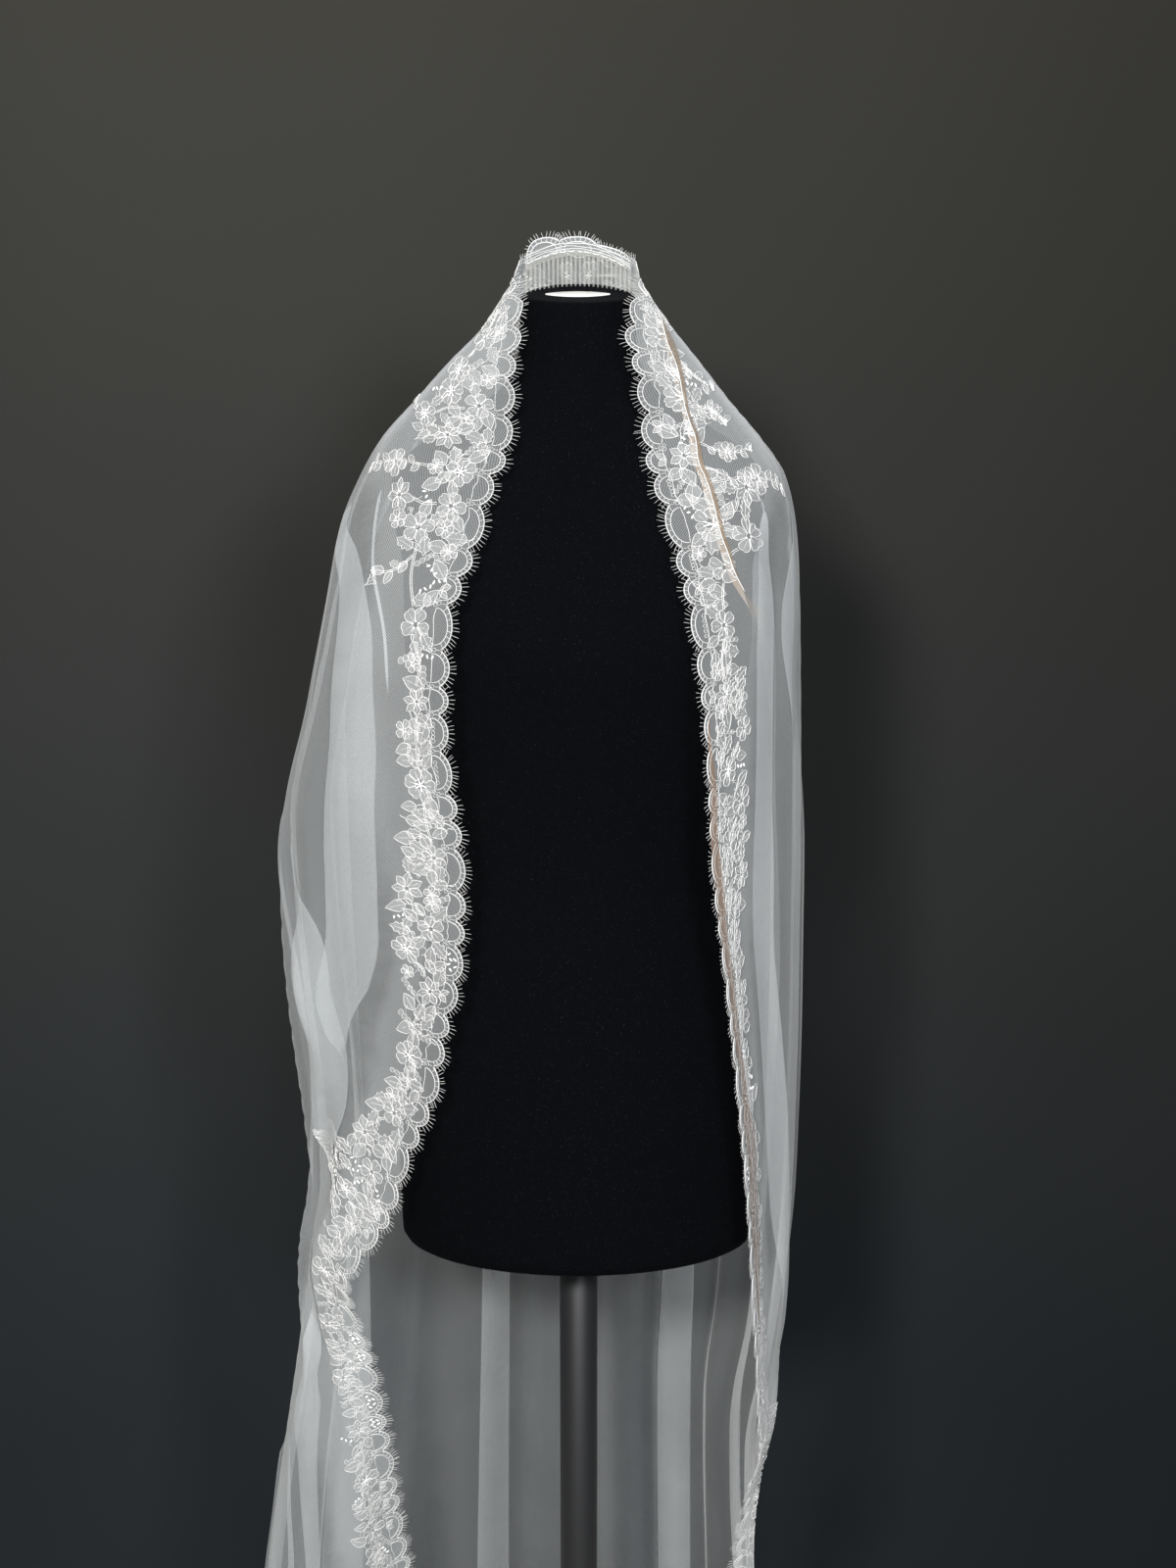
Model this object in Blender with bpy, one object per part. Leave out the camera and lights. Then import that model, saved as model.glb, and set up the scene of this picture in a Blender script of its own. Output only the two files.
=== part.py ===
"""A bridal veil with a wide lace border, on a comb, draped over a limbless dress form on a stand.

Metres, +Z up. The origin is the middle of the round foot's underside. -Y is the open front.
The veil is one curved sheet: level sections at named heights run from its left front edge round
the back to its right front edge, and a table of folds pushes that sheet outwards. The border
follows the sheet's edge: s is the way along the edge from the crown, d the way in from the tips
of the lashes.
"""

from collections import namedtuple
import math

import bpy
import numpy as np
from mathutils.geometry import delaunay_2d_cdt

MM = 0.001

# --- driving sizes, in millimetres ---------------------------------------------------------
SEAM_GAP = 0.4
TULLE_WALL = 1.2
LACE_WALL = 1.4
CROWN_Z = 1544.0          # crest line of the lace over the middle of the comb
CORNER_Z = 1530.0         # where the crown's edge turns down into the front edges
HEM_Z = 14.0              # lowest lash tips, at the middle of the back

SCALLOP_PITCH = 27.0
SCALLOP_DEPTH = 8.5
LASH_LENGTH = 6.0
LASH_GAP = 0.4            # between the scallops and the strip that the lashes stand on
LASH_STRIP = 1.3          # how far out that strip's rim lies
LASH_ROOTS = ((0.30, 0.37), (0.63, 0.70))   # where two lashes stand on a scallop, 0 to 1
FRONT_SCALLOPS = 30       # scallops a side, from the crown, that carry both lashes

COMB_WIDTH = 83.0
COMB_TEETH = 24
COMB_TOOTH = 2.0          # width of a tooth
COMB_THICK = 2.0
COMB_SPINE = 4.5          # height of the spine
COMB_SPINE_Z = 1536.0     # top of the spine in the middle
COMB_ARCH = 12.0          # how far the spine's ends lie below its middle
COMB_TOOTH_LONG = 24.0    # middle teeth below the spine
COMB_BACK_Y = 17.5        # the comb's middle, and how far its ends come forward
COMB_SAG_Y = 11.0

NECK_R = 45.0
NECK_TOP_Z = 1501.5       # the neck's top at its axis
NECK_TILT = math.radians(5.0)   # the top leans forward
CAP_R = 26.0
CAP_THICK = 1.5
CAP_FORWARD = 8.0
POLE_R = 16.0
POLE_TOP_Z = 715.7
FOOT_R = 190.0
FOOT_THICK = 12.0
FOOT_BEVEL = 4.0

# --- the sheet: one row a level section, top to bottom -------------------------------------
# edge is the lash-tip line of the front opening, fold the widest place. bulge is how far the
# panel between them rounds out, over its width. back is the middle of the back.
Side = namedtuple("Side", "z edge_x edge_y bulge fold_x fold_y")
LEFT = (
    Side(1560, -42, -2, 0.10, -44, 8), Side(1531, -42, -2, 0.10, -44, 8),
    Side(1515, -38, -10, 0.15, -50, 6), Side(1500, -36, -35, 0.20, -58, 0),
    Side(1475, -36, -46, 0.20, -76, -4), Side(1450, -40, -56, 0.20, -101, -6),
    Side(1420, -41, -73, 0.20, -128, -6), Side(1390, -44, -88, 0.20, -155, -4),
    Side(1360, -56, -98, 0.20, -173, 0), Side(1320, -67, -112, 0.20, -190, 2),
    Side(1260, -88, -130, 0.18, -202, 5), Side(1180, -92, -136, 0.16, -219, 8),
    Side(1060, -80, -130, 0.12, -243, 12), Side(980, -84, -127, 0.10, -240, 20),
    Side(940, -94, -122, 0.10, -237, 23), Side(880, -105, -116, 0.10, -232, 28),
    Side(820, -128, -106, 0.11, -227, 33), Side(760, -148, -94, 0.13, -225, 38),
    Side(715, -177, -82, 0.14, -226, 41), Side(690, -186, -62, 0.13, -230, 43),
    Side(650, -180, -34, 0.14, -236, 46), Side(600, -168, -2, 0.16, -242, 50),
    Side(500, -158, 48, 0.20, -257, 58), Side(400, -152, 92, 0.18, -272, 66),
    Side(280, -140, 140, 0.15, -285, 76), Side(0, -110, 200, 0.10, -300, 90),
)
RIGHT = (
    Side(1560, 42, -2, 0.10, 44, 8), Side(1531, 42, -2, 0.10, 44, 8),
    Side(1515, 38, -10, 0.15, 48, 6), Side(1500, 35, -35, 0.20, 56, 0),
    Side(1475, 29, -47, 0.20, 75, -4), Side(1450, 35, -56, 0.20, 95, -6),
    Side(1420, 40, -73, 0.20, 118, -6), Side(1390, 43, -88, 0.20, 143, -4),
    Side(1360, 51, -98, 0.20, 163, 0), Side(1320, 64, -112, 0.18, 173, 2),
    Side(1260, 80, -130, 0.12, 177, 5), Side(1180, 92, -136, 0.05, 179, 8),
    Side(1060, 101, -130, 0.0, 181, 12), Side(980, 112, -127, -0.03, 182, 20),
    Side(880, 124, -116, -0.03, 183, 28), Side(760, 136, -100, -0.03, 182, 38),
    Side(700, 140, -92, -0.02, 180, 42), Side(620, 146, -78, 0.0, 174, 47),
    Side(560, 150, -62, 0.03, 168, 52), Side(530, 153, -36, 0.05, 163, 58),
    Side(500, 152, -2, 0.08, 158, 68), Side(460, 146, 38, 0.12, 155, 84),
    Side(400, 138, 76, 0.15, 156, 106), Side(280, 126, 130, 0.15, 162, 142),
    Side(0, 100, 190, 0.10, 176, 188),
)
Back = namedtuple("Back", "z y")
BACK = (
    Back(1560, 19.6), Back(1531, 19.6), Back(1516, 35), Back(1507, 48), Back(1475, 54),
    Back(1450, 61), Back(1420, 73), Back(1390, 88), Back(1360, 102), Back(1320, 117),
    Back(1260, 135), Back(1180, 152), Back(1060, 172), Back(980, 185), Back(880, 200),
    Back(760, 220), Back(640, 240), Back(500, 262), Back(280, 292), Back(0, 320),
)
BACK_ROUND = 0.766        # how square the back's corners are
NORMAL_AT = 0.08          # how far round and up a normal is measured
NORMAL_Z = 7.0

# --- the folds: one row a ridge, at is its place round the section, 0 left edge to 8 right --
Fold = namedtuple("Fold", "at_top at_hem width neck shoulder waist floor")
FOLDS = (
    Fold(0.95, 0.85, 0.16, 0.0, 2.0, 5.0, 8.0),
    Fold(1.50, 1.42, 0.12, 0.4, 4.0, 8.0, 10.0),
    Fold(2.18, 2.14, 0.12, 0.8, 5.0, 9.0, 13.0),
    Fold(2.52, 2.50, 0.09, 1.2, 8.0, 16.0, 26.0),
    Fold(2.88, 2.92, 0.10, 1.5, 7.0, 19.0, 30.0),
    Fold(3.27, 3.32, 0.10, 1.5, 9.0, 16.0, 30.0),
    Fold(3.64, 3.70, 0.09, 1.6, 7.0, 20.0, 32.0),
    Fold(4.05, 4.06, 0.11, 1.6, 9.0, 21.0, 34.0),
    Fold(4.44, 4.42, 0.09, 1.6, 7.0, 17.0, 32.0),
    Fold(4.80, 4.81, 0.10, 1.5, 8.0, 20.0, 30.0),
    Fold(5.20, 5.18, 0.10, 1.4, 7.0, 15.0, 26.0),
    Fold(5.58, 5.56, 0.09, 1.1, 6.0, 9.0, 12.0),
    Fold(5.88, 5.88, 0.10, 0.6, 3.0, 4.0, 3.0),
    Fold(6.55, 6.60, 0.16, 0.5, 3.0, 5.0, 2.0),
)
FOLD_LEVELS = (1530, 1490, 1360, 1060, 0)   # no depth at the first, then the four columns
FOLD_DRIFT = (1440, 600)                    # a ridge moves from at_top to at_hem between these

# --- creases that run across a panel: one row each -----------------------------------------
Crease = namedtuple("Crease", "z_top at_top z_end at_end width depth")
CREASES = (
    Crease(1085, 1.98, 800, 0.95, 0.12, 12.0),     # the left side's flap
    Crease(1060, 2.05, 760, 1.75, 0.07, 9.0),
    Crease(1490, 7.45, 1235, 7.05, 0.12, 5.0),     # the pleat in the right border
)

# --- the swept lower edge: place round the section and height ------------------------------
Sweep = namedtuple("Sweep", "at z")
LEFT_SWEEP = (Sweep(0.0, 340), Sweep(0.10, 295), Sweep(0.45, 240), Sweep(1.0, 190), Sweep(2.0, 115),
              Sweep(3.0, 48), Sweep(4.0, HEM_Z))
RIGHT_SWEEP = (Sweep(8.0, 330), Sweep(7.9, 290), Sweep(7.55, 235), Sweep(7.0, 185), Sweep(6.0, 112),
               Sweep(5.0, 46), Sweep(4.0, HEM_Z))

# --- the lace's width from the lash tips, by the way along the edge from the crown ---------
Width = namedtuple("Width", "s wide")
LACE_WIDTHS = (Width(0, 74), Width(110, 76), Width(160, 92), Width(195, 124), Width(240, 122),
               Width(275, 92), Width(400, 84), Width(600, 78), Width(900, 84), Width(1150, 80),
               Width(2600, 80))
CROWN_TURN = 25.0         # the band runs straight up or down this near the two middle joins
HEM_TURN = 60.0
LACE_ARCH_Z = 1487.0      # the lace's lower edge behind the crown, and how far round it runs
LACE_ARCH_REACH = 112.0
CROWN_LEVELS = (1534, 1522, 1510, 1500, 1490, 1468)
TULLE_LEVELS = (1462, 1430, 1395, 1355, 1300, 1230, 1150, 1060, 980, 885, 780, 690, 630, 565,
                500, 435, 370, 300, 220, 135)

# --- the torso: one row a level section ----------------------------------------------------
Ring = namedtuple("Ring", "z half front back")
TORSO = (
    Ring(716, 142, 92, 108), Ring(724, 148, 96, 112), Ring(820, 150, 98, 116),
    Ring(900, 140, 96, 106), Ring(980, 124, 90, 90), Ring(1045, 114, 84, 80),
    Ring(1120, 122, 92, 84), Ring(1180, 134, 104, 92), Ring(1235, 140, 114, 96),
    Ring(1285, 140, 100, 97), Ring(1325, 147, 86, 92), Ring(1352, 149, 75, 83),
    Ring(1374, 138, 66, 73), Ring(1392, 115, 60, 66), Ring(1410, 86, 55, 58),
    Ring(1430, 60, 49, 51), Ring(1455, 47, 46, 47),
)
TORSO_SIDES = 28


class Track:
    """A smooth curve through rows of values that never overshoots them."""

    def __init__(self, at, values):
        order = np.argsort(at)
        self.at = np.array(at, float)[order]
        self.values = np.array(values, float)[order]
        gaps = np.diff(self.at)
        rise = np.diff(self.values) / gaps
        slope = np.zeros(len(self.at))
        slope[0], slope[-1] = rise[0], rise[-1]
        same = rise[1:] * rise[:-1] > 0
        near, far = 2 * gaps[1:] + gaps[:-1], gaps[1:] + 2 * gaps[:-1]
        with np.errstate(divide="ignore", invalid="ignore"):
            mean = (near + far) / (near / rise[:-1] + far / rise[1:])
        slope[1:-1] = np.where(same, mean, 0.0)
        self.slope = slope

    def __call__(self, where):
        where = np.clip(where, self.at[0], self.at[-1])
        k = np.clip(np.searchsorted(self.at, where) - 1, 0, len(self.at) - 2)
        gap = self.at[k + 1] - self.at[k]
        f = (where - self.at[k]) / gap
        return (
            self.values[k] * (1 + 2 * f) * (1 - f) ** 2
            + self.slope[k] * gap * f * (1 - f) ** 2
            + self.values[k + 1] * f * f * (3 - 2 * f)
            + self.slope[k + 1] * gap * f * f * (f - 1)
        )


def column(rows, name, key="z"):
    """The Track of one named column of a table."""
    return Track([getattr(r, key) for r in rows], [getattr(r, name) for r in rows])


class Sheet:
    """The veil's middle surface, by at (0 left edge to 8 right edge) and z in millimetres."""

    LAST = 8.0
    BACK = 4.0

    def __init__(self):
        names = Side._fields[1:]
        self.sides = [{n: column(rows, n) for n in names} for rows in (LEFT, RIGHT)]
        self.back = column(BACK, "y")
        self.fold_tracks = [Track(FOLD_LEVELS, (0.0, *f[3:])) for f in FOLDS]
        self.levels = np.linspace(0, 1560, 157)
        self.steps = np.linspace(0, self.LAST, 401)
        self.measure_sections()

    def stations(self, z):
        """The nine plan points that a section runs through."""
        back = np.stack([0 * z, self.back(z)])
        out = [None] * 9
        for side, first, step in ((self.sides[0], 0, 1), (self.sides[1], 8, -1)):
            g = {n: track(z) for n, track in side.items()}
            edge, fold = np.stack([g["edge_x"], g["edge_y"]]), np.stack([g["fold_x"], g["fold_y"]])
            run = fold - edge
            out_of = np.stack([-run[1], run[0]]) * step
            out[first] = edge
            out[first + step] = (edge + fold) / 2 + g["bulge"] * out_of
            out[first + 2 * step] = fold
            out[first + 3 * step] = np.stack(
                [fold[0] * BACK_ROUND, fold[1] + (back[1] - fold[1]) * BACK_ROUND]
            )
        out[4] = back
        return np.stack(out)

    def plan(self, at, z):
        """The section without folds: a smooth curve through its stations."""
        pts = self.stations(z)
        k = np.clip(np.floor(at).astype(int), 0, 7)
        f = np.clip(at, 0, self.LAST) - k
        n = np.arange(len(k))
        a, b = pts[k, :, n], pts[k + 1, :, n]
        before, after = pts[np.maximum(k - 1, 0), :, n], pts[np.minimum(k + 2, 8), :, n]
        start, end = (b - before) / 2, (after - a) / 2
        f = f[:, None]
        return (
            a * (1 + 2 * f) * (1 - f) ** 2 + start * f * (1 - f) ** 2
            + b * f * f * (3 - 2 * f) + end * f * f * (f - 1)
        )

    def ridges(self, at, z):
        """How far the folds and creases push the sheet outwards."""
        push = np.zeros(len(at))
        drift = np.clip((FOLD_DRIFT[0] - z) / (FOLD_DRIFT[0] - FOLD_DRIFT[1]), 0, 1)
        for fold, depth in zip(FOLDS, self.fold_tracks):
            middle = fold.at_top + (fold.at_hem - fold.at_top) * drift
            push += depth(z) * np.exp(-(((at - middle) / fold.width) ** 2))
        for crease in CREASES:
            f = (crease.z_top - z) / (crease.z_top - crease.z_end)
            middle = crease.at_top + (crease.at_end - crease.at_top) * f
            fade = np.sin(math.pi * np.clip(f, 0, 1)) ** 0.7
            push += crease.depth * fade * np.exp(-(((at - middle) / crease.width) ** 2))
        return push

    def point(self, at, z):
        """Points of the sheet, in millimetres."""
        at, z = np.atleast_1d(at).astype(float), np.atleast_1d(z).astype(float)
        tiny = 0.01
        low, high = np.clip(at - tiny, 0, self.LAST), np.clip(at + tiny, 0, self.LAST)
        run = self.plan(high, z) - self.plan(low, z)
        run /= np.linalg.norm(run, axis=1)[:, None]
        xy = self.plan(at, z) + self.ridges(at, z)[:, None] * np.stack([-run[:, 1], run[:, 0]], 1)
        return np.column_stack([xy, z])

    def measure_sections(self):
        """Lengths along each level section, from the middle of the back, and their inverse."""
        grid = [self.point(self.steps, np.full(len(self.steps), z)) for z in self.levels]
        runs = [np.linalg.norm(np.diff(g[:, :2], axis=0), axis=1) for g in grid]
        ways = np.array([np.concatenate([[0], np.cumsum(r)]) for r in runs])
        middle = np.array([np.interp(self.BACK, self.steps, w) for w in ways])
        self.ways = ways - middle[:, None]
        self.first, self.last = self.ways[:, 0], self.ways[:, -1]
        share = np.linspace(0, 1, 801)
        rows = zip(self.first, self.last, self.ways)
        self.inverse = np.array([np.interp(a + (b - a) * share, w, self.steps) for a, b, w in rows])

    def at_of(self, way, z):
        """The place round the section that lies at this way along it."""
        first, last = np.interp(z, self.levels, self.first), np.interp(z, self.levels, self.last)
        share = np.clip((way - first) / (last - first), 0, 1) * 800
        row = np.clip(z / 10.0, 0, len(self.levels) - 1.001)
        i, j = row.astype(int), np.minimum(share.astype(int), 799)
        fi, fj = row - i, share - j
        t = self.inverse
        return (
            t[i, j] * (1 - fi) * (1 - fj) + t[i + 1, j] * fi * (1 - fj)
            + t[i, j + 1] * (1 - fi) * fj + t[i + 1, j + 1] * fi * fj
        )

    def way_of(self, at, z):
        """The way along the section of this place round it."""
        row = np.clip(np.asarray(z) / 10.0, 0, len(self.levels) - 1.001)
        i = row.astype(int)
        step = np.clip(np.asarray(at) / self.LAST * 400, 0, 399.999)
        j = step.astype(int)
        fi, fj = row - i, step - j
        w = self.ways
        return (
            w[i, j] * (1 - fi) * (1 - fj) + w[i + 1, j] * fi * (1 - fj)
            + w[i, j + 1] * (1 - fi) * fj + w[i + 1, j + 1] * fi * fj
        )

    def flat_point(self, flat):
        """Points of the sheet for flat places (way along the section, z)."""
        return self.point(self.at_of(flat[:, 0], flat[:, 1]), flat[:, 1])

    def flat_normal(self, flat):
        """The sheet's outward normal at flat places."""
        at, z = self.at_of(flat[:, 0], flat[:, 1]), flat[:, 1]
        low, high = np.clip(at - NORMAL_AT, 0, self.LAST), np.clip(at + NORMAL_AT, 0, self.LAST)
        across = self.point(high, z) - self.point(low, z)
        down = self.point(at, z + NORMAL_Z) - self.point(at, z - NORMAL_Z)
        normal = np.cross(down, across)
        return normal / np.linalg.norm(normal, axis=1)[:, None]


class Border:
    """One half of the sheet's edge, from the crown to the hem, as a band map (s, d) to flat."""

    def __init__(self, sheet, side):
        self.sheet, self.side = sheet, side
        self.path = self.trace()
        points = sheet.flat_point(self.path)
        runs = np.linalg.norm(np.diff(points, axis=0), axis=1)
        self.s = np.concatenate([[0], np.cumsum(runs)])
        self.length = self.s[-1]
        self.scallops = int(round(self.length / SCALLOP_PITCH))
        self.pitch = self.length / self.scallops
        self.inward = self.find_inward(points)

    def trace(self):
        """The lash-tip line as flat places, about 3 mm apart."""
        sheet, left = self.sheet, self.side == "left"
        rows = LEFT_SWEEP if left else RIGHT_SWEEP
        end = 0.0 if left else sheet.LAST
        corner = sheet.way_of(end, CORNER_Z)
        across = np.linspace(0, 1, 16)[:-1]
        rise = (CROWN_Z + LASH_LENGTH - CORNER_Z) * (1 - across ** 2.4)
        crown = np.column_stack([corner * across, CORNER_Z + rise])
        down = np.arange(CORNER_Z, rows[0].z, -3.0)
        front = np.column_stack([sheet.way_of(np.full(len(down), end), down), down])
        sweep = Track([abs(r.at - end) for r in rows], [r.z for r in rows])
        over = 4.0 * np.linspace(0, 1, 500) ** 1.5
        low = sweep(over)
        hem = np.column_stack([sheet.way_of(end + over * (1 if left else -1), low), low])
        return np.vstack([crown, front, hem])

    def find_inward(self, points):
        """Flat directions that run into the cloth at right angles to its edge, per millimetre."""
        sheet, path = self.sheet, self.path
        even = np.linspace(0, self.length, int(self.length / 3))
        path = np.column_stack([np.interp(even, self.s, path[:, k]) for k in (0, 1)])
        points = np.column_stack([np.interp(even, self.s, points[:, k]) for k in (0, 1, 2)])
        along = smooth(np.gradient(points, axis=0), 5)
        toward = np.array([0.0, 900.0]) - path
        inside = path + 5.0 * toward / np.linalg.norm(toward, axis=1)[:, None]
        normal = smooth(sheet.flat_normal(inside), 5)
        into = np.cross(normal, along) * (-1 if self.side == "left" else 1)
        into /= np.linalg.norm(into, axis=1)[:, None]
        across = sheet.flat_point(inside + [1, 0]) - sheet.flat_point(inside - [1, 0])
        down = sheet.flat_point(inside + [0, 1]) - sheet.flat_point(inside - [0, 1])
        across, down = smooth(across / 2, 5), smooth(down / 2, 5)
        aa, ab, bb = (np.sum(p * q, 1) for p, q in ((across, across), (across, down), (down, down)))
        ia, ib = np.sum(into * across, 1), np.sum(into * down, 1)
        spread = aa * bb - ab * ab
        flat = np.column_stack([(ia * bb - ib * ab) / spread, (ib * aa - ia * ab) / spread])
        flat = smooth(flat, 9)
        flat[:, 0] *= np.clip(even / CROWN_TURN, 0, 1) * np.clip((self.length - even) / HEM_TURN, 0, 1)
        self.even, self.even_path = even, path
        return flat

    def flat(self, s, d):
        """Flat places for ways s along the edge and d in from it."""
        s, d = np.atleast_1d(s), np.atleast_1d(d)
        base = [np.interp(s, self.even, self.even_path[:, k]) for k in (0, 1)]
        into = [np.interp(s, self.even, self.inward[:, k]) for k in (0, 1)]
        return np.column_stack([base[k] + into[k] * d for k in (0, 1)])


def smooth(rows, reach):
    """Rows averaged along their length with a bell of this reach."""
    bell = np.exp(-0.5 * (np.arange(-2 * reach, 2 * reach + 1) / reach) ** 2)
    bell /= bell.sum()
    padded = np.pad(rows, ((2 * reach, 2 * reach), (0, 0)), mode="edge")
    return np.column_stack([np.convolve(padded[:, k], bell, "valid") for k in range(rows.shape[1])])


def scallop(phase):
    """How far in from a scallop's crest its edge lies, and the slope, at phase 0 to 1."""
    half = SCALLOP_PITCH / 2
    radius = (half ** 2 + SCALLOP_DEPTH ** 2) / (2 * SCALLOP_DEPTH)
    off = (np.mod(phase, 1.0) - 0.5) * SCALLOP_PITCH
    rise = np.sqrt(radius ** 2 - off ** 2)
    return radius - rise, off / rise


def scallop_columns(border):
    """Ways along the edge of each column of a scalloped edge, and which columns start a lash."""
    (a, b), (c, d) = LASH_ROOTS
    ways, lashes = [0.0], []
    for n in range(border.scallops + 1):
        front = n < FRONT_SCALLOPS
        for p in (0.0, a, b, c, d) if front else (0.0, a, b, d):
            s = (n + p - 0.5) * border.pitch
            if 1.0 < s < border.length - 1.0:
                ways.append(s)
                if p == a or (front and p == c):
                    lashes.append(len(ways) - 1)
    ways.append(border.length)
    return np.array(ways), set(lashes)


def edge_line(border, ways, out):
    """Flat places beside the scalloped edge, out millimetres outside it."""
    inset, slope = scallop(ways / border.pitch + 0.5)
    return border.flat(ways, LASH_LENGTH + LASH_STRIP + inset - out * np.sqrt(1 + slope ** 2))


def seam_line(border, gap):
    """Flat places along the join of lace and tulle, from the arch behind the crown to the hem."""
    wide = Track([w.s for w in LACE_WIDTHS], [w.wide for w in LACE_WIDTHS])
    ways = np.arange(1, 2 * border.scallops) * border.pitch / 2
    sign = -1 if border.side == "left" else 1
    first = np.argmax(border.flat(ways, wide(ways))[:, 0] * sign > LACE_ARCH_REACH)
    line = border.flat(ways, wide(ways) + gap)[first:]
    ends = np.linspace(0, line[0, 0], 13)
    top = LACE_ARCH_Z - (LACE_ARCH_Z - line[0, 1] - gap) * (ends / line[0, 0]) ** 2 - gap
    return np.vstack([np.column_stack([ends, top])[:-1], line])


def inside(points, outline):
    """Which points lie inside a closed outline."""
    x, z = points[:, 0][:, None], points[:, 1][:, None]
    ax, az = outline[:, 0], outline[:, 1]
    bx, bz = np.roll(ax, -1), np.roll(az, -1)
    with np.errstate(divide="ignore", invalid="ignore"):
        cross = ax + (z - az) * (bx - ax) / (bz - az)
    hits = ((az > z) != (bz > z)) & (x < cross)
    return hits.sum(1) % 2 == 1


def clear_of(points, outline, reach):
    """Which points lie further than reach from an outline's corners."""
    keep = np.ones(len(points), bool)
    for x, z in outline:
        keep &= (points[:, 0] - x) ** 2 + (points[:, 1] - z) ** 2 > reach ** 2
    return keep


def fold_grid(sheet, levels):
    """Flat places on each ridge, in each trough and between, at each level."""
    rows = []
    for z in levels:
        drift = np.clip((FOLD_DRIFT[0] - z) / (FOLD_DRIFT[0] - FOLD_DRIFT[1]), 0, 1)
        tops = [f.at_top + (f.at_hem - f.at_top) * drift for f in FOLDS]
        marks = sorted([0.35, 0.65, 1.2, 1.8, 6.25, 6.9, 7.2, 7.6] + tops)
        ends = zip(marks[:-1], marks[1:])
        between = [a + (b - a) * f for a, b in ends for f in (0.33, 0.67) if 1.6 < a < 6.3]
        at = np.array(sorted(marks + between))
        rows.append(np.column_stack([sheet.way_of(at, np.full(len(at), z)), np.full(len(at), z)]))
    return np.vstack(rows)


def fill(outline, loose):
    """Triangles over a closed outline and loose inner points, all flat places."""
    points = np.vstack([outline, loose])
    n = len(outline)
    scaled = [(x / 100.0, z / 100.0) for x, z in points]
    edges = [(i, (i + 1) % n) for i in range(n)]
    verts, _, faces, *_ = delaunay_2d_cdt(scaled, edges, [], 1, 1e-7)
    flat = np.array([(v.x * 100.0, v.y * 100.0) for v in verts])
    return flat, [list(f) for f in faces]


def add_object(name, verts, faces, material):
    """One named closed piece, from points in millimetres."""
    mesh = bpy.data.meshes.new(name)
    mesh.from_pydata([tuple(float(c) * MM for c in v) for v in verts], [], faces)
    mesh.validate()
    mesh.update()
    mesh.shade_smooth()
    mesh.set_sharp_from_angle(angle=math.radians(40))
    piece = bpy.data.objects.new(name, mesh)
    bpy.context.collection.objects.link(piece)
    mesh.materials.append(material)
    return piece


def add_wall(name, middle, normal, faces, thick, material):
    """A wall of even thickness over a middle surface, closed round its edge."""
    n = len(middle)
    outer, inner = middle + normal * thick / 2, middle - normal * thick / 2
    first = faces[0]
    a, b, c = (middle[i] for i in first[:3])
    if np.dot(np.cross(b - a, c - a), normal[first[0]]) < 0:
        faces = [f[::-1] for f in faces]
    used = {}
    for f in faces:
        for i, j in zip(f, f[1:] + f[:1]):
            used[(i, j)] = used.get((i, j), 0) + 1
    rim = [(i, j) for (i, j) in used if (j, i) not in used]
    both = list(faces) + [[i + n for i in reversed(f)] for f in faces]
    both += [[j, i, i + n, j + n] for i, j in rim]
    return add_object(name, np.vstack([outer, inner]), both, material)


def add_loft(name, rings, material):
    """A closed body through rings of equal count, flat at both ends."""
    n = len(rings[0])
    verts = [p for ring in rings for p in ring]
    faces = []
    for k in range(len(rings) - 1):
        for i in range(n):
            j = (i + 1) % n
            faces.append([k * n + i, k * n + j, (k + 1) * n + j, (k + 1) * n + i])
    faces.append(list(reversed(range(n))))
    faces.append([(len(rings) - 1) * n + i for i in range(n)])
    return add_object(name, verts, faces, material)


def make_material(name, colour, roughness, metallic=0.0, alpha=1.0):
    """A plain Principled material."""
    material = bpy.data.materials.new(name)
    material.use_nodes = True
    shader = material.node_tree.nodes["Principled BSDF"]
    shader.inputs["Base Color"].default_value = (*colour, 1.0)
    shader.inputs["Roughness"].default_value = roughness
    shader.inputs["Metallic"].default_value = metallic
    shader.inputs["Alpha"].default_value = alpha
    return material


def comb_y(x):
    """The comb's curve in plan: its ends come forward."""
    return COMB_BACK_Y - COMB_SAG_Y * (x / (COMB_WIDTH / 2)) ** 2


def neck_top(y):
    """Height of the neck's leaning top."""
    return NECK_TOP_Z + y * math.tan(NECK_TILT)


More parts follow.
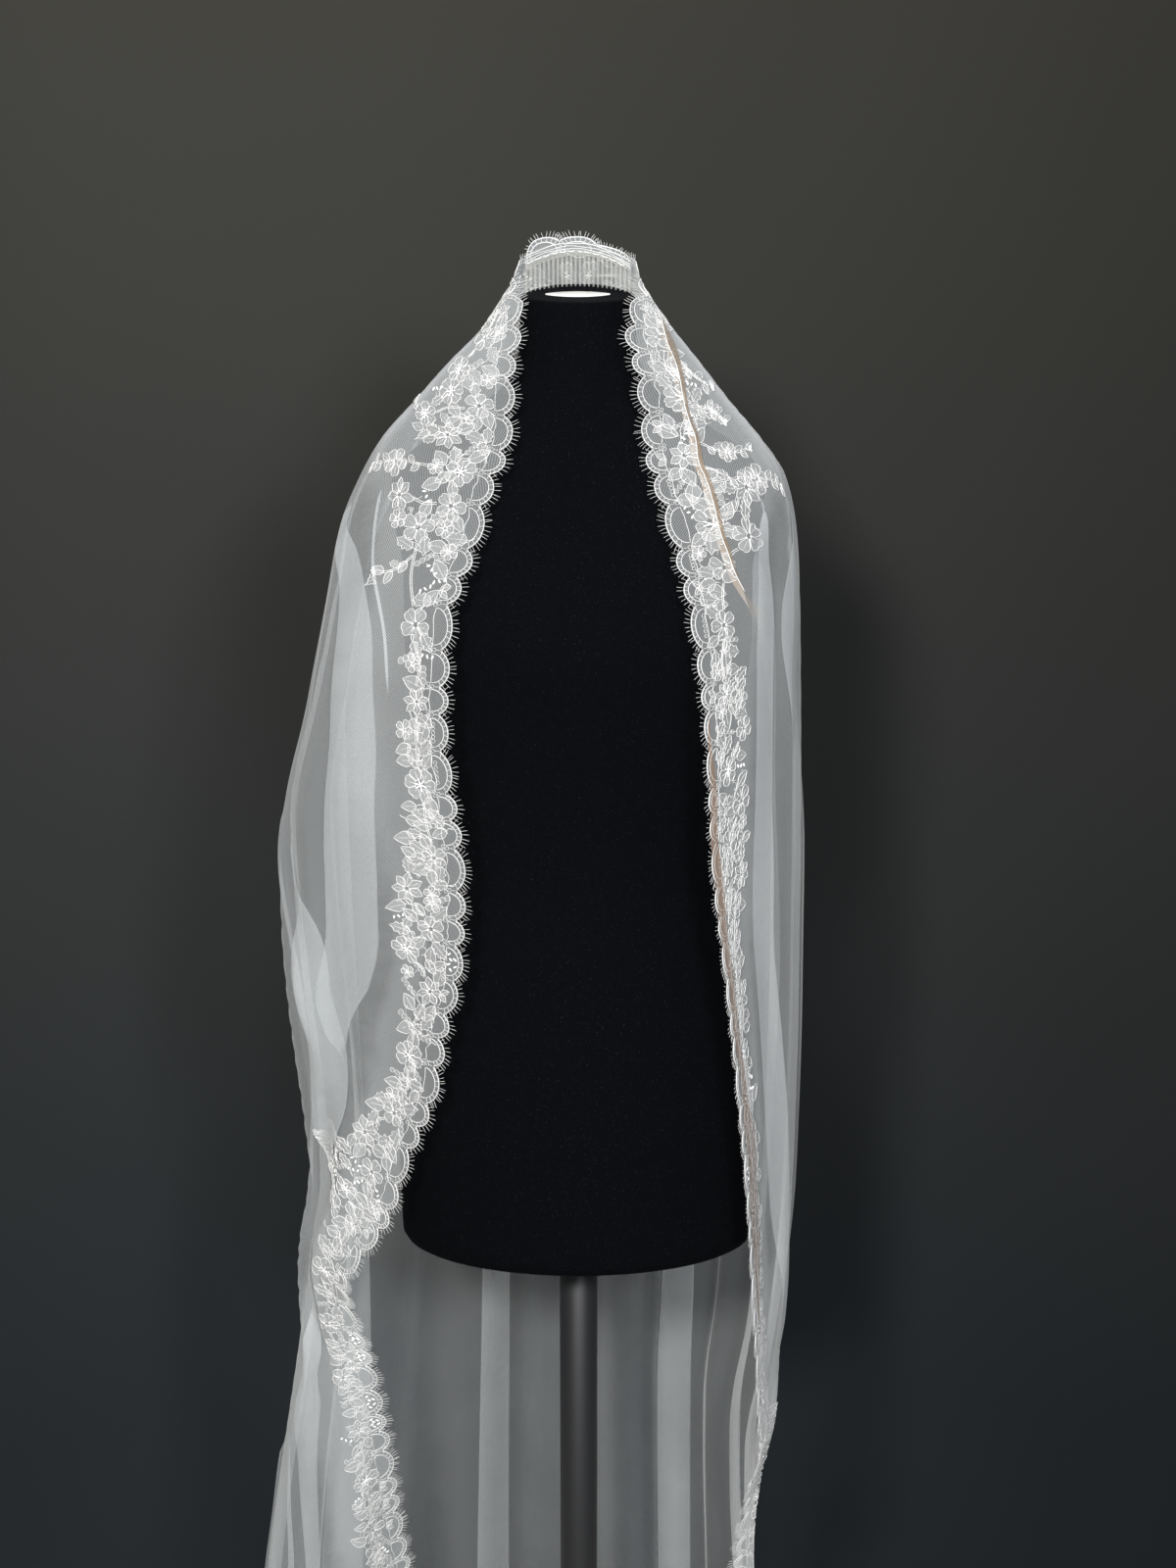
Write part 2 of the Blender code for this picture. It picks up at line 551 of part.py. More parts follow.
def make_comb(material):
    """The comb: an arched spine with its teeth, bent to the crown's curve."""
    half = COMB_WIDTH / 2
    pitch = (COMB_WIDTH - COMB_TOOTH) / (COMB_TEETH - 1)
    cols = [(-half + i * pitch + k * COMB_TOOTH) for i in range(COMB_TEETH) for k in (0, 1)]
    end_tip = neck_top(comb_y(half)) + 0.3 + COMB_THICK * math.tan(NECK_TILT)
    flat, faces, at = [], [], {}

    def place(x, z):
        key = (round(x, 4), round(z, 4))
        if key not in at:
            at[key] = len(flat)
            flat.append((x, z))
        return at[key]

    def spine(x):
        top = COMB_SPINE_Z - COMB_ARCH * (x / half) ** 2
        return top, top - COMB_SPINE

    for a, b in zip(cols[:-1], cols[1:]):
        corners = [(a, spine(a)[1]), (b, spine(b)[1]), (b, spine(b)[0]), (a, spine(a)[0])]
        faces.append([place(*c) for c in corners])
    mid_tip = COMB_SPINE_Z - COMB_SPINE - COMB_TOOTH_LONG
    for i in range(COMB_TEETH):
        a, b = cols[2 * i], cols[2 * i + 1]
        tip = mid_tip + (end_tip - mid_tip) * ((a + b) / 2 / half) ** 2
        tip = max(tip, end_tip)
        inset, shoulder = COMB_TOOTH * 0.22, tip + COMB_TOOTH * 0.6
        rows = [(a, b, None), (a, b, shoulder), (a + inset, b - inset, tip)]
        for (a0, b0, z0), (a1, b1, z1) in zip(rows[:-1], rows[1:]):
            top_a = spine(a0)[1] if z0 is None else z0
            top_b = spine(b0)[1] if z0 is None else z0
            faces.append([place(a1, z1), place(b1, z1), place(b0, top_b), place(a0, top_a)])
    flat = np.array(flat)
    middle = np.column_stack([flat[:, 0], comb_y(flat[:, 0]), flat[:, 1]])
    slope = -2 * COMB_SAG_Y * flat[:, 0] / half ** 2
    normal = np.column_stack([-slope, np.ones(len(flat)), np.zeros(len(flat))])
    normal /= np.linalg.norm(normal, axis=1)[:, None]
    return add_wall("comb", middle, normal, faces, COMB_THICK, material)


def make_tulle(sheet, borders, material):
    """The veil's body, inside the lace."""
    left = seam_line(borders["left"], SEAM_GAP)
    right = seam_line(borders["right"], SEAM_GAP)
    outline = np.vstack([left, right[::-1][:-1]])
    loose = fold_grid(sheet, TULLE_LEVELS)
    loose = loose[inside(loose, outline)]
    loose = loose[clear_of(loose, outline, 10.0)]
    flat, faces = fill(outline, loose)
    return add_wall("veil_tulle", sheet.flat_point(flat), sheet.flat_normal(flat), faces,
                    TULLE_WALL, material)


def make_lace(sheet, border, material):
    """One half of the lace border, with its scalloped edge."""
    sign = -1 if border.side == "left" else 1
    ways, _ = scallop_columns(border)
    outer = edge_line(border, ways, 0.0)
    outer[:, 0] = sign * np.maximum(outer[:, 0] * sign, SEAM_GAP / 2)
    seam = seam_line(border, 0.0)
    seam[:, 0] = sign * np.maximum(seam[:, 0] * sign, SEAM_GAP / 2)
    middle = [(sign * SEAM_GAP / 2, z) for z in sorted(CROWN_LEVELS) if z > LACE_ARCH_Z]
    outline = np.vstack([outer, seam[::-1], middle])
    wide = Track([w.s for w in LACE_WIDTHS], [w.wide for w in LACE_WIDTHS])
    halves = np.arange(1, 2 * border.scallops) * border.pitch / 2
    share = np.where(np.arange(len(halves)) % 2 == 0, 0.42, 0.60)
    loose = np.vstack([border.flat(halves, wide(halves) * share), fold_grid(sheet, CROWN_LEVELS)])
    loose = loose[loose[:, 0] * sign > 4.0]
    loose = loose[inside(loose, outline)]
    loose = loose[clear_of(loose, outline, 7.0)]
    flat, faces = fill(outline, loose)
    return add_wall("lace_" + border.side, sheet.flat_point(flat), sheet.flat_normal(flat), faces,
                    LACE_WALL, material)


def make_lashes(sheet, border, material):
    """The eyelash fringe of one half: a narrow strip along the scallops with lashes on it."""
    sign = -1 if border.side == "left" else 1
    ways, lashes = scallop_columns(border)
    lines = [edge_line(border, ways, out) for out in (LASH_GAP, LASH_STRIP)]
    for line in lines:
        line[:, 0] = sign * np.maximum(line[:, 0] * sign, SEAM_GAP / 2)
    root, rim = (sheet.flat_point(line) for line in lines)
    normal = sheet.flat_normal(lines[0])
    up, low = rim + normal * LASH_STRIP / 2, rim - normal * LASH_STRIP / 2
    n = len(ways)
    verts = [*root, *up, *low]
    faces = []
    for k in range(n - 1):
        faces.append([k, k + 1, n + k + 1, n + k])
        faces.append([k + 1, k, 2 * n + k, 2 * n + k + 1])
        face = [n + k, n + k + 1, 2 * n + k + 1, 2 * n + k]
        if k not in lashes:
            faces.append(face)
            continue
        middle = (up[k] + up[k + 1] + low[k] + low[k + 1]) / 4
        away = middle - (root[k] + root[k + 1]) / 2
        verts.append(middle + away / np.linalg.norm(away) * LASH_LENGTH)
        faces += [[a, b, len(verts) - 1] for a, b in zip(face, face[1:] + face[:1])]
    faces.append([0, n, 2 * n])
    faces.append([n - 1, 3 * n - 1, 2 * n - 1])
    if sign > 0:
        faces = [f[::-1] for f in faces]
    return add_object("lash_" + border.side, verts, faces, material)


def make_torso(material):
    """The limbless torso, with a bust, shoulders and a neck that leans forward at its top."""
    turns = np.linspace(0, 2 * math.pi, TORSO_SIDES, endpoint=False)
    rings = []
    for row in TORSO:
        x, y = row.half * np.cos(turns), np.sin(turns)
        y = np.where(y < 0, y * row.front, y * row.back)
        rings.append(np.column_stack([x, y, np.full(TORSO_SIDES, float(row.z))]))
    for radius, drop in ((NECK_R, 14.0), (NECK_R, 2.0), (NECK_R - 2.0, 0.0)):
        x, y = radius * np.cos(turns), radius * np.sin(turns)
        rings.append(np.column_stack([x, y, neck_top(y) - drop]))
    return add_loft("form_torso", rings, material)


def make_cap(material):
    """The white disc on the neck's top."""
    turns = np.linspace(0, 2 * math.pi, 32, endpoint=False)
    rings = []
    for radius, up in ((CAP_R, 0.3), (CAP_R, CAP_THICK - 0.4), (CAP_R - 0.8, CAP_THICK)):
        x, y = radius * np.cos(turns), radius * np.sin(turns) - CAP_FORWARD
        rings.append(np.column_stack([x, y, neck_top(y) + up]))
    return add_loft("form_neck_cap", rings, material)


def make_turned(name, profile, sides, material):
    """A turned piece about the Z axis from (radius, z) rows, bottom to top."""
    turns = np.linspace(0, 2 * math.pi, sides, endpoint=False)
    rings = []
    for radius, z in profile:
        rings.append(np.column_stack([radius * np.cos(turns), radius * np.sin(turns),
                                      np.full(sides, z)]))
    return add_loft(name, rings, material)


def main():
    """Clears the scene and builds every piece."""
    for old in list(bpy.data.objects):
        bpy.data.objects.remove(old, do_unlink=True)
    tulle = make_material("tulle", (0.86, 0.87, 0.87), 0.8, alpha=0.45)
    lace = make_material("lace", (0.90, 0.89, 0.86), 0.7)
    plastic = make_material("clear_plastic", (0.93, 0.94, 0.95), 0.12, alpha=0.5)
    velvet = make_material("velvet", (0.006, 0.006, 0.007), 0.95)
    white = make_material("cap_plastic", (0.88, 0.88, 0.87), 0.4)
    metal = make_material("black_metal", (0.02, 0.02, 0.022), 0.45, 0.6)

    sheet = Sheet()
    borders = {side: Border(sheet, side) for side in ("left", "right")}
    make_tulle(sheet, borders, tulle)
    for border in borders.values():
        make_lace(sheet, border, lace)
        make_lashes(sheet, border, lace)
    make_comb(plastic)
    make_torso(velvet)
    make_cap(white)
    foot = [(FOOT_R, 0.0), (FOOT_R, FOOT_THICK - FOOT_BEVEL), (FOOT_R - FOOT_BEVEL, FOOT_THICK)]
    make_turned("stand_base", foot, 40, metal)
    make_turned("stand_pole", [(POLE_R, FOOT_THICK + 0.3), (POLE_R, POLE_TOP_Z)], 20, metal)


main()
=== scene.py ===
"""A bridal veil of fine net with a wide lace border, on a clear comb, over a limbless dress form.

Millimetres inside, metres in Blender. The veil is one curved sheet. A place on it is flat, as
(way along the level section from the back's middle, height), or lies in the border, as (s along
the edge from the crown, d in from the tips of the lashes).
"""

import logging
import math
from dataclasses import dataclass, field
from enum import Enum
from typing import Callable, Iterable, NamedTuple, Optional, Sequence

import bpy
import numpy as np
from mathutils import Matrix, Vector
from mathutils.geometry import delaunay_2d_cdt
from mathutils.kdtree import KDTree


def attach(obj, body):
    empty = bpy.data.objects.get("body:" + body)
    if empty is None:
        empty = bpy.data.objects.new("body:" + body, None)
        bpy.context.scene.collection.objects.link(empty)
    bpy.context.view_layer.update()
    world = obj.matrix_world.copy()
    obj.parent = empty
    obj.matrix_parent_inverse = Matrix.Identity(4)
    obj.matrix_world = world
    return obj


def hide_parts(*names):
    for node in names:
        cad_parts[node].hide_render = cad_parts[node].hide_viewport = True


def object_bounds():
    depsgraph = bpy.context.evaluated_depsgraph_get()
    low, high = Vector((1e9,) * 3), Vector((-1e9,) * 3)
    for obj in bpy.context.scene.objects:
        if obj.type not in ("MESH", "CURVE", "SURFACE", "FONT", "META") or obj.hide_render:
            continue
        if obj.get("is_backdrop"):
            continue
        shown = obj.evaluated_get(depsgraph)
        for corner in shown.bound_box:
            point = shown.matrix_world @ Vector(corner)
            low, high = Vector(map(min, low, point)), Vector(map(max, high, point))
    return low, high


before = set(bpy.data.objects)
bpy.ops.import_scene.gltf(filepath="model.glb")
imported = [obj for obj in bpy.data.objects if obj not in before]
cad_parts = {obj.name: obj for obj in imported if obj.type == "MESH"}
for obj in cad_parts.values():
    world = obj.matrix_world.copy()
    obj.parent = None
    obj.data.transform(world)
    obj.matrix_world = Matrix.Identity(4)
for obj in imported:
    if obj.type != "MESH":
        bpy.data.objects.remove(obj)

LOG = logging.getLogger("veil")
MM = 0.001
ROOT = "root"
Array = np.ndarray
Colour = tuple[float, float, float, float]
Spot = tuple[float, float, float]
Material = bpy.types.Material
Node = bpy.types.Node
Adder = Callable[..., Node]
Piece = bpy.types.Object
Mesh = tuple[Array, Array]              # points in millimetres and faces


class Half(Enum):
    """The two halves of the border, as seen from the front."""

    LEFT = "left"
    RIGHT = "right"

    @property
    def sign(self) -> int:
        """-1 on the left half and 1 on the right."""
        return -1 if self is Half.LEFT else 1


def table(kind: type, *rows: tuple) -> tuple:
    """Rows of one kind, whose columns have its names."""
    return tuple(kind(*row) for row in rows)


# --- sizes, in millimetres -----------------------------------------------------------------
CROWN_Z = 1544.0
CORNER_Z = 1530.0
HEM_Z = 14.0
SCALLOP_PITCH = 27.0
SCALLOP_DEPTH = 8.5
LASH_LENGTH = 6.0
LASH_STRIP = 1.3
EDGE_D = LASH_LENGTH + LASH_STRIP       # the scallops' crests lie this far in from the lash tips
CROWN_TURN = 25.0
HEM_TURN = 60.0
SCALLOP_R = ((SCALLOP_PITCH / 2) ** 2 + SCALLOP_DEPTH ** 2) / (2 * SCALLOP_DEPTH)
SCALLOP_SWING = 0.17                    # how unevenly the scallops' cusps are spaced
SCALLOP_SWING_OVER = 3.4                # scallops in one round of broad and narrow ones
CROWN_SCALLOPS = {              # from the crown on: how far in each cusp and each crest lies
    Half.LEFT: ((2.0, -3.5), (-1.0, -6.2)),
    Half.RIGHT: ((-1.0, -3.5), (2.0, 2.6), (5.0, 0.5)),
}
BACK_ROUND = 0.766
NORMAL_AT = 0.08
NORMAL_Z = 7.0


class Side(NamedTuple):
    """One level section of a front panel: its edge, its bulge and its widest place."""

    z: float
    edge_x: float
    edge_y: float
    bulge: float
    fold_x: float
    fold_y: float


LEFT = table(
    Side,
    (1560, -42, -2, 0.10, -44, 8), (1531, -42, -2, 0.10, -44, 8),
    (1515, -38, -10, 0.15, -50, 6), (1500, -36, -35, 0.20, -58, 0),
    (1475, -36, -46, 0.20, -76, -4), (1450, -40, -56, 0.20, -101, -6),
    (1420, -41, -73, 0.20, -128, -6), (1390, -44, -88, 0.20, -155, -4),
    (1360, -56, -98, 0.20, -173, 0), (1320, -67, -112, 0.20, -190, 2),
    (1260, -88, -130, 0.18, -202, 5), (1180, -92, -136, 0.16, -219, 8),
    (1060, -80, -130, 0.12, -243, 12), (980, -84, -127, 0.10, -240, 20),
    (940, -94, -122, 0.10, -237, 23), (880, -105, -116, 0.10, -232, 28),
    (820, -128, -106, 0.11, -227, 33), (760, -148, -94, 0.13, -225, 38),
    (715, -177, -82, 0.14, -226, 41), (690, -186, -62, 0.13, -230, 43),
    (650, -180, -34, 0.14, -236, 46), (600, -168, -2, 0.16, -242, 50),
    (500, -158, 48, 0.20, -257, 58), (400, -152, 92, 0.18, -272, 66),
    (280, -140, 140, 0.15, -285, 76), (0, -110, 200, 0.10, -300, 90),
)
RIGHT = table(
    Side,
    (1560, 42, -2, 0.10, 44, 8), (1531, 42, -2, 0.10, 44, 8),
    (1515, 38, -10, 0.15, 48, 6), (1500, 35, -35, 0.20, 56, 0),
    (1475, 29, -47, 0.20, 75, -4), (1450, 35, -56, 0.20, 95, -6),
    (1420, 40, -73, 0.20, 118, -6), (1390, 43, -88, 0.20, 143, -4),
    (1360, 51, -98, 0.20, 163, 0), (1320, 64, -112, 0.18, 173, 2),
    (1260, 80, -130, 0.12, 177, 5), (1180, 92, -136, 0.05, 179, 8),
    (1060, 101, -130, 0.0, 181, 12), (980, 112, -127, -0.03, 182, 20),
    (880, 124, -116, -0.03, 183, 28), (760, 136, -100, -0.03, 182, 38),
    (700, 140, -92, -0.02, 180, 42), (620, 146, -78, 0.0, 174, 47),
    (560, 150, -62, 0.03, 168, 52), (530, 153, -36, 0.05, 163, 58),
    (500, 152, -2, 0.08, 158, 68), (460, 146, 38, 0.12, 155, 84),
    (400, 138, 76, 0.15, 156, 106), (280, 126, 130, 0.15, 162, 142),
    (0, 100, 190, 0.10, 176, 188),
)


class Back(NamedTuple):
    """How far back the middle of the back hangs at a height."""

    z: float
    y: float


BACK = table(
    Back,
    (1560, 19.6), (1531, 19.6), (1516, 35), (1507, 48), (1475, 54),
    (1450, 61), (1420, 73), (1390, 88), (1360, 102), (1320, 117),
    (1260, 135), (1180, 152), (1060, 172), (980, 185), (880, 200),
    (760, 220), (640, 240), (500, 262), (280, 292), (0, 320),
)


class Fold(NamedTuple):
    """One ridge: its place round the section at the top and the hem, and its depths."""

    at_top: float
    at_hem: float
    width: float
    neck: float
    shoulder: float
    waist: float
    floor: float


FOLDS = table(
    Fold,
    (0.95, 0.85, 0.16, 0.0, 2.0, 5.0, 8.0),
    (1.50, 1.42, 0.12, 0.4, 4.0, 8.0, 10.0),
    (2.18, 2.14, 0.12, 0.8, 1.5, 2.5, 8.0),
    (2.52, 2.50, 0.09, 1.2, 8.0, 16.0, 26.0),
    (2.88, 2.92, 0.10, 1.5, 7.0, 19.0, 30.0),
    (3.27, 3.32, 0.10, 1.5, 9.0, 16.0, 30.0),
    (3.64, 3.70, 0.09, 1.6, 7.0, 20.0, 32.0),
    (4.05, 4.06, 0.11, 1.6, 9.0, 21.0, 34.0),
    (4.44, 4.42, 0.09, 1.6, 7.0, 17.0, 32.0),
    (4.80, 4.81, 0.10, 1.5, 8.0, 20.0, 30.0),
    (5.20, 5.18, 0.10, 1.4, 7.0, 15.0, 26.0),
    (5.58, 5.56, 0.09, 1.1, 6.0, 9.0, 12.0),
    (5.88, 5.88, 0.10, 0.6, 3.0, 4.0, 3.0),
    (6.55, 6.60, 0.16, 0.5, 3.0, 5.0, 2.0),
)
FOLD_LEVELS = (1530, 1490, 1360, 1060, 0)
FOLD_DRIFT = (1440, 600)


class Crease(NamedTuple):
    """A crease that runs across a panel, from one place and height to another."""

    z_top: float
    at_top: float
    z_end: float
    at_end: float
    width: float
    depth: float


CREASES = table(
    Crease,
    (1085, 1.98, 800, 0.95, 0.12, 12.0),
    (1060, 2.05, 760, 1.75, 0.07, 9.0),
    (1490, 7.45, 1235, 7.05, 0.12, 5.0),
)


class Lap(NamedTuple):
    """One height of a laid-over fold: the ways of its root and of its tip along the section."""

    z: float
    root: float
    tip: float


class Pleat(NamedTuple):
    """A fold of the sheet laid over on itself."""

    lift: float                 # how far its outer layer stands off
    tan: float                  # how much painted tan shade and warm reflected light its fold shows
    laps: tuple[Lap, ...]


PLEATS = (
    Pleat(1.6, 0, table(Lap, (1362, -306, -304), (1316, -369, -367), (1256, -436, -434),
                        (1185, -492, -490))),
    Pleat(3.5, 0, table(Lap, (1345, -282, -276), (1276, -404, -366), (1204, -463, -413),
                        (1136, -505, -451), (1044, -540, -482), (956, -548, -489), (905, -540, -498),
                        (870, -530, -508))),
    Pleat(3.5, 0, table(Lap, (1072, -424, -425), (1048, -437, -441), (1008, -450, -473),
                        (949, -456, -504), (900, -459, -518), (860, -463, -519), (820, -468, -510),
                        (780, -474, -498))),
    Pleat(3.0, 0, table(Lap, (730, -482, -486), (664, -487, -499), (589, -474, -498), (549, -472, -508),
                        (492, -494, -518), (384, -531, -545), (295, -547, -557))),
    Pleat(2.5, 0, table(Lap, (520, -474, -478), (444, -496, -501), (382, -513, -519),
                        (290, -524, -530))),
    Pleat(3.0, 0, table(Lap, (495, -454, -457), (435, -448, -460), (364, -456, -474),
                        (240, -466, -490))),
    Pleat(3.0, 0, table(Lap, (1348, 318, 314), (1296, 366, 351), (1268, 380, 359), (1208, 394, 373),
                        (1104, 414, 393), (1036, 427, 401), (952, 434, 410), (760, 440, 414),
                        (590, 414, 400))),
    Pleat(2.5, 0, table(Lap, (1344, 268, 272), (1288, 306, 332), (1256, 325, 351), (1225, 340, 357),
                        (1140, 352, 357))),
    Pleat(1.5, 0, table(Lap, (1358, 308, 311), (1330, 323, 326), (1300, 341, 344))),
    Pleat(1.8, 1, table(Lap, (1493, 117, 112), (1469, 154, 148), (1455, 178, 172), (1430, 227, 221),
                        (1403, 284, 278), (1374, 339, 333), (1351, 366, 360), (1318, 388, 382),
                        (1291, 395, 389), (1250, 388, 384))),
    Pleat(4.0, 0, table(Lap, (1390, -138, -134), (1200, -236, -220), (900, -268, -236),
                        (500, -284, -246), (170, -316, -272))),
    Pleat(3.5, 0, table(Lap, (1410, -40, -37), (1150, -95, -75), (800, -112, -80), (170, -134, -88))),
    Pleat(4.0, 0, table(Lap, (1360, 58, 61), (1100, 92, 112), (700, 108, 142), (160, 118, 162))),
    Pleat(3.5, 0, table(Lap, (1425, 88, 90), (1200, 188, 205), (900, 248, 274), (450, 260, 290),
                        (170, 258, 294))),
    Pleat(3.0, 0, table(Lap, (1310, 214, 217), (1000, 318, 336), (700, 344, 364), (380, 338, 354))),
)
PLEAT_TURNS = (0.38, 0.62)      # shares of a pleat's own cloth at which it turns back and on
PLEAT_FADES = (14.0, 40.0)      # how far its upper and lower ends take to run out
PLEAT_CREST = (0.3, 0.32, 0.38)     # shares over which it rises, where it falls and over how much
PLEAT_SHADE_AT = 0.58             # the middle of its band of painted tan shade, as a share of its own cloth


def pleat_reach(wide: Array) -> Array:
    """Half the cloth, laid flat, that a pleat of some overlap is made from."""
    return 0.6 * wide + np.minimum(5.0, 1.5 + wide)


def ease(share: Array) -> Array:
    """A share from 0 to 1 that starts and ends gently."""
    return share * share * (3 - 2 * share)


def hermite(start: Array, end: Array, start_slope: Array, end_slope: Array, f: Array) -> Array:
    """A cubic from one value to another with given slopes, at shares of the way between them."""
    return (
        start * (1 + 2 * f) * (1 - f) ** 2 + start_slope * f * (1 - f) ** 2
        + end * f * f * (3 - 2 * f) + end_slope * f * f * (f - 1)
    )


def heading(turn: float) -> Array:
    """The unit vector at an angle."""
    return np.array([math.cos(turn), math.sin(turn)])


def outwards(turn: float) -> Array:
    """The unit vector in the border that points out of its edge, swung by an angle."""
    return np.array([math.sin(turn), -math.cos(turn)])


def quarter(way: Array) -> Array:
    """A flat vector after a quarter turn."""
    return np.array([-way[1], way[0]])


class Sweep(NamedTuple):
    """A height of the lower edge at a place round the section."""

    at: float
    z: float


LEFT_SWEEP = table(
    Sweep,
    (0.0, 340), (0.10, 295), (0.45, 240), (1.0, 190), (2.0, 115),
    (3.0, 48), (4.0, HEM_Z),
)
RIGHT_SWEEP = table(
    Sweep,
    (8.0, 330), (7.9, 290), (7.55, 235), (7.0, 185), (6.0, 112),
    (5.0, 46), (4.0, HEM_Z),
)


class Ring(NamedTuple):
    """One level section of the torso: half its width, and its reach to the front and back."""

    z: float
    half: float
    front: float
    back: float


TORSO = table(
    Ring,
    (716, 142, 92, 108), (724, 148, 96, 112), (820, 150, 98, 116),
    (900, 140, 96, 106), (980, 124, 90, 90), (1045, 114, 84, 80),
    (1120, 122, 92, 84), (1180, 134, 104, 92), (1235, 140, 114, 96),
    (1285, 140, 100, 97), (1325, 147, 86, 92), (1352, 149, 75, 83),
    (1374, 138, 66, 73), (1392, 115, 60, 66), (1410, 86, 55, 58),
    (1430, 60, 49, 51), (1455, 47, 46, 47),
)


class Track:
    """A smooth curve through rows of values that never overshoots them."""

    def __init__(self, at: Sequence[float], values: Sequence[float]) -> None:
        """Fits the slopes.

        Args:
            at: Where each value holds.
            values: The values.
        """
        order = np.argsort(at)
        self.at = np.array(at, float)[order]
        self.values = np.array(values, float)[order]
        gaps = np.diff(self.at)
        rise = np.diff(self.values) / gaps
        slope = np.zeros(len(self.at))
        slope[0], slope[-1] = rise[0], rise[-1]
        same = rise[1:] * rise[:-1] > 0
        near, far = 2 * gaps[1:] + gaps[:-1], gaps[1:] + 2 * gaps[:-1]
        with np.errstate(divide="ignore", invalid="ignore"):
            mean = (near + far) / (near / rise[:-1] + far / rise[1:])
        slope[1:-1] = np.where(same, mean, 0.0)
        self.slope = slope

    def __call__(self, where: Array) -> Array:
        """The curve's values.

        Args:
            where: Places to read.

        Returns:
            One value for each place.
        """
        where = np.clip(where, self.at[0], self.at[-1])
        k = np.clip(np.searchsorted(self.at, where) - 1, 0, len(self.at) - 2)
        gap = self.at[k + 1] - self.at[k]
        f = (where - self.at[k]) / gap
        slopes = self.slope[k] * gap, self.slope[k + 1] * gap
        return hermite(self.values[k], self.values[k + 1], *slopes, f)


def column(rows: Sequence[NamedTuple], name: str, key: str = "z") -> Track:
    """The Track of one named column of a table, along another."""
    return Track([getattr(r, key) for r in rows], [getattr(r, name) for r in rows])


def smooth(rows: Array, reach: int) -> Array:
    """Averages rows along their length with a bell.

    Args:
        rows: Values, one row a step.
        reach: The bell's reach in steps.

    Returns:
        The averaged rows.
    """
    bell = np.exp(-0.5 * (np.arange(-2 * reach, 2 * reach + 1) / reach) ** 2)
    bell /= bell.sum()
    padded = np.pad(rows, ((2 * reach, 2 * reach), (0, 0)), mode="edge")
    return np.column_stack([np.convolve(padded[:, k], bell, "valid") for k in range(rows.shape[1])])


def unit(rows: Array) -> Array:
    """Vectors, one a row, scaled to length 1."""
    return rows / np.maximum(np.linalg.norm(rows, axis=1), 1e-9)[:, None]


